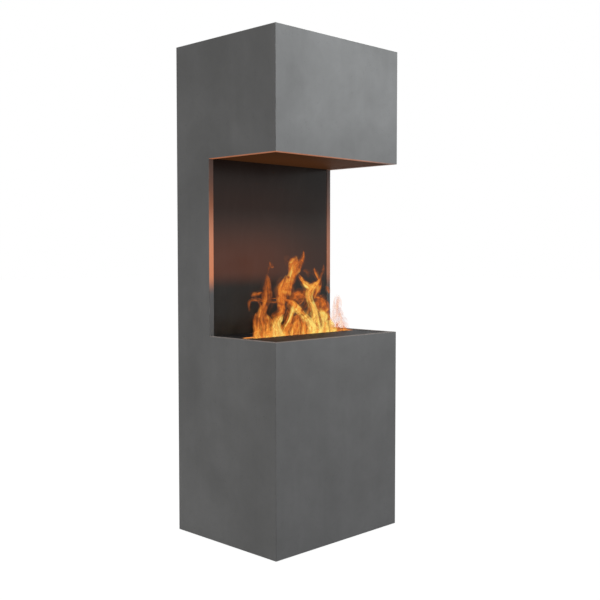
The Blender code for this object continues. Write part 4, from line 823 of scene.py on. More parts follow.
def looped_tube(rings: np.ndarray) -> Shell:
    """A closed skin over rings of points whose last ring joins the first, such as a washer.

    Args:
        rings: ring by ring, the points round it.

    Returns:
        The skin, right side out and shaded smooth.
    """
    number = np.arange(rings.shape[0] * rings.shape[1]).reshape(rings.shape[:2])
    after, turned = np.roll(number, -1, axis=0), np.roll(number, -1, axis=1)
    both = np.roll(after, -1, axis=1)
    quads = np.stack((number, turned, both, after), axis=-1).reshape(-1, 4)
    return Shell(rings.reshape(-1, 3), [quads], [np.ones(len(quads), bool)], {}, {}).outward()


def box_of(node: str) -> tuple[np.ndarray, np.ndarray]:
    """The lowest and highest corner of a CAD node, as arrays."""
    low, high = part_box(node)
    return np.array(low), np.array(high)


class Workshop:
    """Makes each finish's material once, and turns shells and CAD nodes into finished pieces."""

    sharp_deg: float = 34.0
    merge_gap: float = 2e-6
    flat_deg: float = 0.4

    def __init__(self) -> None:
        """Starts with no materials made."""
        self.made: dict[str, bpy.types.Material] = {}

    def paint(self, name: str) -> bpy.types.Material:
        """The material of a finish, made on its first use.

        Args:
            name: a key of FINISHES.

        Returns:
            The material.
        """
        if name not in self.made:
            self.made[name] = FINISHES[name].build()
        return self.made[name]

    def _finished(
        self, name: str, mesh: bpy.types.Mesh, material: str, body: str, slot: str
    ) -> bpy.types.Object:
        """Makes a mesh a piece that rides on a body.

        Args:
            name: the piece's name.
            mesh: its mesh.
            material: its finish.
            body: the CAD body that it moves with.
            slot: the record's material slot; not used.

        Returns:
            The new object.
        """
        mesh.materials.append(self.paint(material))
        piece = bpy.data.objects.new(name, mesh)
        bpy.context.scene.collection.objects.link(piece)
        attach(piece, body)
        LOG.info("%s: %d points, in %s, on %s", name, len(mesh.vertices), material, body)
        return piece

    def add(
        self,
        name: str,
        shell: Shell,
        slot: str = "sheet_steel",
        body: str = "casing",
        finish: str | None = None,
        crease: float | None = None,
    ) -> bpy.types.Object:
        """Turns a shell into a piece.

        Args:
            name: the piece's name.
            shell: its mesh.
            slot: the record's material slot that it takes its finish from.
            body: the CAD body that it moves with.
            finish: its finish, where it isn't the slot's own.
            crease: the angle in degrees above which edges stay sharp, where the shell is smooth.

        Returns:
            The new object.
        """
        mesh = bpy.data.meshes.new(name)
        corners = np.concatenate([block.ravel() for block in shell.faces]).astype(np.int32)
        sides = np.concatenate([np.full(len(block), block.shape[1]) for block in shell.faces])
        starts = np.concatenate(([0], np.cumsum(sides)[:-1])).astype(np.int32)
        mesh.vertices.add(len(shell.points))
        mesh.vertices.foreach_set("co", shell.points.astype(np.float32).ravel())
        mesh.loops.add(len(corners))
        mesh.loops.foreach_set("vertex_index", corners)
        mesh.polygons.add(len(starts))
        mesh.polygons.foreach_set("loop_start", starts)
        mesh.polygons.foreach_set("use_smooth", np.concatenate(shell.smooth))
        mesh.update(calc_edges=True)
        for domain, marks in (("FACE", shell.face_marks), ("POINT", shell.point_marks)):
            for key, values in marks.items():
                single = values.ndim == 1
                layer = mesh.attributes.new(key, "FLOAT" if single else "FLOAT_VECTOR", domain)
                flat = values.astype(np.float32).ravel()
                layer.data.foreach_set("value" if single else "vector", flat)
        if crease is not None:
            mesh.set_sharp_from_angle(angle=math.radians(crease))
        return self._finished(name, mesh, finish or slot, body, slot)

    def stand_in(
        self,
        node: str,
        name: str,
        shell: Shell,
        finish: str | None = None,
        crease: float | None = None,
    ) -> None:
        """Turns a shell into a piece that stands for a CAD node, on its body and in its slot."""
        body = frame["nodes"][node]["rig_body"]
        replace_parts(self.add(name, shell, SLOT_OF_NODE[node], body, finish, crease), node)

    def eased(
        self,
        node: str,
        name: str,
        width: float,
        segments: int = 2,
        finish: str | None = None,
        whole_faces: bool = True,
    ) -> None:
        """Copies a CAD node's own shape with its sharp edges eased, to stand for the node.

        The copy's loose triangles are merged and its flat faces made whole before the bevel.

        Args:
            node: the CAD node.
            name: the new piece's name.
            width: the bevel's width.
            segments: the bevel's steps.
            finish: its finish, where it isn't the slot's own.
            whole_faces: whether its flat faces are made whole first.
        """
        source = frame["nodes"][node]
        mesh = source.data.copy()
        mesh.name = name
        edit = bmesh.new()
        edit.from_mesh(mesh)
        bmesh.ops.remove_doubles(edit, verts=edit.verts, dist=self.merge_gap)
        if whole_faces:
            flat = math.radians(self.flat_deg)
            bmesh.ops.dissolve_limit(edit, angle_limit=flat, verts=edit.verts, edges=edit.edges)
        edit.to_mesh(mesh)
        edit.free()
        mesh.materials.clear()
        mesh.shade_smooth()
        sharp = math.radians(self.sharp_deg)
        mesh.set_sharp_from_angle(angle=sharp)
        slot = SLOT_OF_NODE[node]
        piece = self._finished(name, mesh, finish or slot, source["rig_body"], slot)
        bevel = piece.modifiers.new("eased_edges", "BEVEL")
        bevel.width = width
        bevel.segments = segments
        bevel.limit_method = "ANGLE"
        bevel.angle_limit = sharp
        bevel.harden_normals = True
        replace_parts(piece, node)

    def eased_rows(self, rows: Iterable[tuple[str, str, float, int]]) -> None:
        """Makes an eased copy of each row's node: node, new name, bevel width and steps."""
        for row in rows:
            self.eased(*row)

    def screws(
        self,
        name: str,
        places: Iterable[Point],
        radius: float,
        axis: Axis = Axis.Y,
        side: float = 1.0,
        body: str = "casing",
    ) -> None:
        """Makes one piece of pan-head screws with a cross recess.

        A head's outline is a circle. The recess's outline is the union of two bars, whose reach
        at an angle is the greater of min(long / |cos|, half / |sin|) and the same with the bars
        swapped.

        Args:
            name: the piece's name.
            places: the middle of each head's underside.
            radius: the heads' radius.
            axis: the way in which the heads face.
            side: 1 where they face along the axis and -1 where they face against it.
            body: the CAD body that they move with.
        """
        way = round_ways(24)
        level = np.maximum(np.abs(way), 1e-6)
        arm, half = 0.52 * radius, 0.13 * radius
        first = np.minimum(arm / level[:, 0], half / level[:, 1])
        second = np.minimum(half / level[:, 0], arm / level[:, 1])
        cross = np.maximum(first, second)
        reach = [np.full(len(way), share * radius) for share in (0.94, 1.0, 0.97, 0.84, 0.62)]
        reach += [cross, cross * 0.86]
        heights = np.array((0.0, 0.06, 0.26, 0.44, 0.54, 0.56, 0.22)) * radius
        head = upright(np.array(reach)[..., None] * way[None], side * heights, axis)
        heads = joined(tube(head + np.array(place)) for place in places)
        self.add(name, heads, "sheet_steel", body, crease=40.0)


def round_ways(sides: int) -> np.ndarray:
    """Unit vectors at even steps round a circle: the cosine and sine of each angle."""
    angle = np.linspace(0.0, 2.0 * math.pi, sides, endpoint=False)
    return np.stack((np.cos(angle), np.sin(angle)), axis=1)


def upright(flat: np.ndarray, heights: np.ndarray, axis: Axis) -> np.ndarray:
    """Sets outlines at heights along an axis.

    Args:
        flat: outline by outline, points in the plane across the axis.
        heights: one for each outline.
        axis: the way in which the heights run.

    Returns:
        The outlines' points in space.
    """
    rings = np.zeros((*flat.shape[:2], 3))
    across, along, up = axis.value
    rings[..., across], rings[..., along] = flat[..., 0], flat[..., 1]
    rings[..., up] = heights[:, None]
    return rings


@dataclass(frozen=True)
class Outline:
    """A closed outline in a plane, and the way in which each of its points is drawn in."""

    points: np.ndarray
    inward: np.ndarray

    @classmethod
    def ring(cls, radius: float, sides: int = 32) -> "Outline":
        """A circle: radius times cosine and sine."""
        way = round_ways(sides)
        return cls(radius * way, -way)

    @classmethod
    def waved(cls, radius: float, wave: float, count: int, sides: int) -> "Outline":
        """A grip's outline: a circle whose radius rises and falls count times by wave.

        Args:
            radius: the greatest radius.
            wave: how far it falls.
            count: how often.
            sides: the points round it.

        Returns:
            The outline.
        """
        way = round_ways(sides)
        angle = np.linspace(0.0, 2.0 * math.pi, sides, endpoint=False)
        reach = radius - wave * (0.5 - 0.5 * np.cos(count * angle))
        return cls(reach[:, None] * way, -way)

    @classmethod
    def rounded(cls, width: float, depth: float, corner: float, steps: int = 5) -> "Outline":
        """A rectangle with round corners: four quarter circles, joined by straight lines.

        Args:
            width: its size along the first axis.
            depth: its size along the second.
            corner: the radius of its corners.
            steps: the points of each corner.

        Returns:
            The outline.
        """
        angle = np.linspace(0.0, math.pi / 2, steps)
        quarter = np.stack((np.cos(angle), np.sin(angle)), axis=1)
        points, ways = [], []
        for cosine, sine in ((1, 0), (0, 1), (-1, 0), (0, -1)):
            spin = np.array(((cosine, sine), (-sine, cosine)))
            way = quarter @ spin
            middle = np.array((1.0, 1.0)) @ spin * (np.array((width, depth)) / 2.0 - corner)
            points.append(middle + corner * way)
            ways.append(-way)
        return cls(np.concatenate(points), np.concatenate(ways))

    @classmethod
    def cornered(cls, corners: "Sequence[tuple[float, float]] | np.ndarray") -> "Outline":
        """A polygon, each of whose corners is drawn in along its mitre.

        Args:
            corners: its corners, anticlockwise.

        Returns:
            The outline.
        """
        points = np.array(corners, float)
        edge = np.roll(points, -1, axis=0) - points
        edge /= np.linalg.norm(edge, axis=1, keepdims=True)
        normal = np.stack((-edge[:, 1], edge[:, 0]), axis=1)
        before = np.roll(normal, 1, axis=0)
        mitre = (normal + before) / (1.0 + np.sum(normal * before, axis=1, keepdims=True))
        return cls(points, mitre)


def soft_edge(low: float, high: float, radius: float, turns: int = 4) -> Steps:
    """The steps of a slab whose two rims are rounded.

    A quarter circle of the radius: drawn in by r (1 - sin t), at r (1 - cos t) from the face.
    A last step inside the rim keeps the flat face flat.

    Args:
        low: the slab's lower face.
        high: its upper face.
        radius: the radius of its rims.
        turns: how many points each quarter circle has.

    Returns:
        Pairs of how far the outline is drawn in, and the height.
    """
    turn = np.linspace(0.0, math.pi / 2, turns)
    drawn = radius * (1.0 - np.sin(turn))
    rise = radius * (1.0 - np.cos(turn))
    top = [*zip(drawn[::-1], high - rise[::-1]), (radius * 1.25, high)]
    return [(radius * 1.25, low), *zip(drawn, low + rise), *top]


def stacked(
    outline: Outline, steps: Steps, centre: Place, axis: Axis = Axis.Z, looped: bool = False
) -> Shell:
    """A solid of one outline, drawn in by each step's amount at each step's height.

    Args:
        outline: the outline, in the plane across the axis.
        steps: pairs of how far it is drawn in, and the height along the axis.
        centre: the point that the outline and the heights are measured from.
        axis: the way in which the heights run.
        looped: whether the last step joins the first, as round a ring, with no end faces.

    Returns:
        The closed skin.
    """
    drawn, heights = np.array(steps, float).T
    flat = outline.points[None] + drawn[:, None, None] * outline.inward[None]
    rings = upright(flat, heights, axis) + np.array(centre)
    return looped_tube(rings) if looped else tube(rings)


def bar(low: Place, high: Place, radius: float, axis: Axis = Axis.Z) -> Shell:
    """A block between two corners, rounded along its sides and its rims.

    Args:
        low: its low corner.
        high: its high corner.
        radius: the rounding.
        axis: the way in which its sides run.

    Returns:
        The closed skin.
    """
    low, high = np.array(low, float), np.array(high, float)
    size, middle = high - low, (low + high) / 2.0
    across, along, up = axis.value
    outline = Outline.rounded(size[across], size[along], radius * 1.05, 4)
    half = size[up] / 2.0
    return stacked(outline, soft_edge(-half, half, radius * 0.8, 3), middle, axis)


@dataclass
class Board:
    """A flat board with square cut-outs, rounded arrises and, where named, mitred edges.

    The board is a grid of cells between the lines of its outline and its cut-outs. Its faces are
    the filled cells, on the outer and the inner side. Its edges are strips between rings of the
    same grid, sunk to growing depths. On a square edge a ring is drawn in by a quarter circle's
    sag, r - sqrt(r^2 - (r - depth)^2). On a mitred edge it is drawn in by the depth itself.

    Attributes:
        low: the board's low corner, x, y and z.
        high: its high corner.
        thin: the axis along which the board is thin.
        outer_high: whether its outer face is the high one.
        cuts: emptied rectangles, low and high along the first and the second other axis.
        mitres: four flags, low and high edge along the first axis, then along the second.
        rounding: the radius of its arrises.
        seam: how far a mitre stands back from the exact 45 degrees.
        edge_marks: marks on named edges, as (first axis or not, line, rim, lip, sill). Rim is
            lamp light that follows its height in the niche, lip is lamp light that doesn't, and
            sill is how much painted highlight a top edge takes.
    """

    low: np.ndarray
    high: np.ndarray
    thin: Axis
    outer_high: bool
    cuts: Sequence[tuple[float, float, float, float]] = ()
    mitres: tuple[bool, bool, bool, bool] = (False, False, False, False)
    rounding: float = 0.0012
    seam: float = 0.00012
    edge_marks: Sequence[tuple[bool, float, float, float, float]] = ()

    @classmethod
    def of(cls, node: str, thin: Axis, outer_high: bool, **more: object) -> "Board":
        """The board that fills a CAD node's box."""
        return cls(*box_of(node), thin, outer_high, **more)

    def shell(self) -> Shell:
        """The board's closed mesh, with the marks rim, lip, sill and arris on its faces.

        Returns:
            The mesh.
        """
        across, along, up = self.thin.value
        u = self._lines(across, [value for cut in self.cuts for value in cut[:2]])
        v = self._lines(along, [value for cut in self.cuts for value in cut[2:]])
        filled = self._filled(u, v)
        depths, square, mitred = self._profile()
        pad = np.pad(filled, 1).astype(int)
        step_u = pad[1:, :] - pad[:-1, :]
        step_v = pad[:, 1:] - pad[:, :-1]
        lean_u = np.sign(step_u[:, :-1] + step_u[:, 1:])
        lean_v = np.sign(step_v[:-1, :] + step_v[1:, :])
        draw_u = self._draw(len(u), self.mitres[:2], square, mitred)
        draw_v = self._draw(len(v), self.mitres[2:], square, mitred)
        shape = (len(depths), len(u), len(v))
        points = np.zeros((*shape, 3))
        points[..., across] = u[None, :, None] + lean_u * draw_u[:, :, None]
        points[..., along] = v[None, None, :] + lean_v * draw_v[:, None, :]
        outer = self.high[up] - depths if self.outer_high else self.low[up] + depths
        points[..., up] = outer[:, None, None]
        number = np.arange(np.prod(shape)).reshape(shape)
        quads, glow, arris = self._faces(number, filled, (step_u, step_v), (u, v))
        used, compact = np.unique(quads, return_inverse=True)
        marks = {"rim": glow[:, 0], "lip": glow[:, 1], "sill": glow[:, 2], "arris": arris}
        faces = [compact.reshape(quads.shape)]
        return Shell(points.reshape(-1, 3)[used], faces, [arris > 0.5], marks, {}).outward()

    def _lines(self, axis: int, inner: Sequence[float]) -> np.ndarray:
        """The grid lines along one axis: the board's ends and the cut-outs' edges inside it."""
        span = (self.low[axis], self.high[axis])
        return np.unique(np.round([*span, *(v for v in inner if span[0] < v < span[1])], 7))

    def _filled(self, u: np.ndarray, v: np.ndarray) -> np.ndarray:
        """Which cells are solid: those whose middle lies in no cut-out.

        Args:
            u: the grid lines along the first axis.
            v: those along the second.

        Returns:
            A flag for each cell.
        """
        middle_u = (u[:-1] + u[1:])[:, None] / 2
        middle_v = (v[:-1] + v[1:])[None, :] / 2
        filled = np.ones((len(u) - 1, len(v) - 1), bool)
        for low_u, high_u, low_v, high_v in self.cuts:
            inside_u = (middle_u > low_u) & (middle_u < high_u)
            filled &= ~(inside_u & (middle_v > low_v) & (middle_v < high_v))
        return filled

    def _profile(self) -> tuple[np.ndarray, np.ndarray, np.ndarray]:
        """The rings' depths, and how far each is drawn in on square and on mitred edges.

        Returns:
            Three numbers for each ring.
        """
        thin = self.thin.value[2]
        thickness = self.high[thin] - self.low[thin]
        radius = self.rounding
        outer = radius * (1.0 - np.cos(np.radians((0.0, 22.5, 45.0, 67.5, 90.0))))
        depths = np.concatenate((outer, thickness - outer[::-1]))
        near = np.minimum(depths, thickness - depths)
        rise = np.clip(radius - near, 0.0, radius)
        square = radius - np.sqrt(radius**2 - rise**2)
        round_outer = np.where(depths < thickness / 2, square, 0.0)
        return depths, square, np.maximum(round_outer, depths + self.seam)

    def _draw(
        self, count: int, flags: Sequence[bool], square: np.ndarray, mitred: np.ndarray
    ) -> np.ndarray:
        """How far each ring is drawn in at each line.

        Args:
            count: the number of lines.
            flags: whether the first and the last line are mitred.
            square: the amounts on a square edge.
            mitred: the amounts on a mitred edge.

        Returns:
            The amounts, rings by lines.
        """
        draw = np.repeat(square[:, None], count, axis=1)
        for end, flag in zip((0, count - 1), flags):
            if flag:
                draw[:, end] = mitred
        return draw

    def _faces(
        self,
        number: np.ndarray,
        filled: np.ndarray,
        steps: tuple[np.ndarray, np.ndarray],
        lines: tuple[np.ndarray, np.ndarray],
    ) -> tuple[np.ndarray, np.ndarray, np.ndarray]:
        """All quads and their marks.

        Args:
            number: the points' numbers, ring by ring.
            filled: which cells are solid.
            steps: where the board starts and ends along each axis.
            lines: the grid lines along each axis.

        Returns:
            The quads, and for each its three edge marks and whether it is an arris.
        """
        i, j = np.nonzero(filled)
        corners = ((i, j), (i + 1, j), (i + 1, j + 1), (i, j + 1))
        outer, inner = (
            np.stack([number[ring][corner] for corner in corners], axis=1) for ring in (0, -1)
        )
        blocks = [outer[:, ::-1], inner]
        glows = [np.zeros((2 * len(i), 3))]
        rings = np.arange(len(number) - 1)
        edges = (
            (*np.nonzero(steps[0][:, 1:-1]), 0, 1),
            (*np.nonzero(steps[1][1:-1, :]), 1, 0),
        )
        for axis, (edge_i, edge_j, on_i, on_j) in enumerate(edges):
            first = number[:, edge_i, edge_j]
            second = number[:, edge_i + on_i, edge_j + on_j]
            step = steps[axis][edge_i + on_i, edge_j + on_j]
            blocks.append(self._strip(first, second, step > 0 if axis == 0 else step < 0))
            places = lines[axis][(edge_i, edge_j)[axis]]
            glows.append(np.repeat(self._line_glow(places, axis == 0), len(rings), axis=0))
        quads = np.concatenate(blocks)
        walls = len(quads) - 2 * len(i)
        rounded = np.tile(rings != len(rings) // 2, walls // len(rings))
        arris = np.concatenate((np.zeros(2 * len(i)), rounded.astype(float)))
        return quads, np.concatenate(glows), arris

    def _strip(self, first: np.ndarray, second: np.ndarray, flip: np.ndarray) -> np.ndarray:
        """The quads of each edge from ring to ring, edge by edge.

        Args:
            first: the point numbers at one end of each edge, ring by ring.
            second: those at the other end.
            flip: which edges' quads are turned round.

        Returns:
            The quads.
        """
        quads = np.stack((first[:-1], second[:-1], second[1:], first[1:]), axis=-1)
        quads = np.where(flip[None, :, None], quads[..., ::-1], quads)
        return quads.transpose(1, 0, 2).reshape(-1, 4)

    def _line_glow(self, places: np.ndarray, first_axis: bool) -> np.ndarray:
        """The marks of edges that lie on named lines.

        Args:
            places: where each edge lies.
            first_axis: whether that is along the first axis.

        Returns:
            Three marks for each edge.
        """
        glow = np.zeros((len(places), 3))
        for on_first, line, *amounts in self.edge_marks:
            if on_first == first_axis:
                glow[np.abs(places - line) < 1e-5] = amounts
        return glow


@dataclass
class Casing:
    """The outer boards, mitred round the front and the top, with the niche cut through them."""

    spine_front: float = 0.075
    strip_glow: float = 1.0
    lintel_glow: float = 0.62

    def build(self, shop: Workshop) -> None:
        """Makes the five outer boards.

        Args:
            shop: what makes the pieces.
        """
        sill = float(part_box("front_panel_lower")[1].z)
        lintel = float(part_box("front_panel_upper")[0].z)
        strip_mark = (True, self.spine_front, self.strip_glow, 0.0, 0.0)
        lintel_mark = (False, lintel, 0.0, self.lintel_glow, 0.0)
        sill_mark = (False, sill, 0.0, 0.0, 1.0)
        for side in ("left", "right"):
            node = f"side_panel_{side}"
            board = Board.of(node, Axis.X, side == "right", mitres=(True, False, False, True))
            board.cuts = ((board.low[1] - 1.0, self.spine_front, sill, lintel),)
            board.edge_marks = (strip_mark, lintel_mark, sill_mark)
            shop.stand_in(node, f"side_board_{side}", board.shell())
        for place, top, mark in (("lower", False, sill_mark), ("upper", True, lintel_mark)):
            mitres = (True, True, False, top)
            board = Board.of(f"front_panel_{place}", Axis.Y, False, mitres=mitres, edge_marks=(mark,))
            shop.stand_in(f"front_panel_{place}", f"front_board_{place}", board.shell())
        board = Board.of("top_panel", Axis.Z, True, mitres=(True, True, True, False))
        shop.stand_in("top_panel", "top_board", board.shell())


@dataclass
class Niche:
    """The hearth plate, the ceiling plate and the back pane."""

    slot: tuple[float, float, float, float] = (-0.265, 0.265, -0.074, -0.026)
    filler: tuple[float, float, float, float] = (-0.0313, 0.0313, 0.0137, 0.0663)
    strip: tuple[float, float, float, float] = (0.1397, 0.2403, 0.0267, 0.0533)
    rounding: float = 0.0006

    def build(self, shop: Workshop) -> None:
        """Makes the three plates.

        Args:
            shop: what makes the pieces.
        """
        glow = tuple((on_first, line, 1.0, 0.0, 0.0) for on_first, line in (
            (False, self.slot[2]), (False, self.slot[3]), (True, self.slot[0]), (True, self.slot[1])
        ))
        hearth = Board.of("hearth_plate", Axis.Z, True, rounding=self.rounding, edge_marks=glow)
        hearth.cuts = (self.slot, self.filler, self.strip)
        shop.stand_in("hearth_plate", "hearth", hearth.shell())
        ceiling = Board.of("ceiling_plate", Axis.Z, False, rounding=self.rounding)
        shop.stand_in("ceiling_plate", "niche_ceiling", ceiling.shell(), "ceiling_plate_paint")
        pane = Board.of("back_glass", Axis.Y, False, rounding=self.rounding)
        shop.stand_in("back_glass", "back_pane", pane.shell())


def smooth_course(knots: np.ndarray, step: float) -> np.ndarray:
    """Even steps along a smooth curve through knots.

    The curve between two knots is the Catmull-Rom cubic of them and their neighbours.

    Args:
        knots: one row each: x, y and z in metres, and a width where the curve has one.
        step: the greatest distance between two points, in metres.

    Returns:
        The points, one row each.
    """
    padded = np.concatenate((2 * knots[:1] - knots[1:2], knots, 2 * knots[-1:] - knots[-2:-1]))
    lengths = np.linalg.norm(np.diff(knots[:, :3], axis=0), axis=1)
    count = max(10, int(np.ceil(lengths.sum() / step)))
    travel = np.linspace(0.0, lengths.sum(), count)
    ends = np.concatenate(([0.0], np.cumsum(lengths)))
    index = np.clip(np.searchsorted(ends, travel, "right") - 1, 0, len(lengths) - 1)
    t = ((travel - ends[index]) / lengths[index])[:, None]
    before, first, second, after = (padded[index + shift] for shift in range(4))
    return 0.5 * (
        2.0 * first
        + (second - before) * t
        + (2.0 * before - 5.0 * first + 4.0 * second - after) * t**2
        + (3.0 * first - before - 3.0 * second + after) * t**3
    )


Tongue = tuple[float, float, float, Sequence[float]]

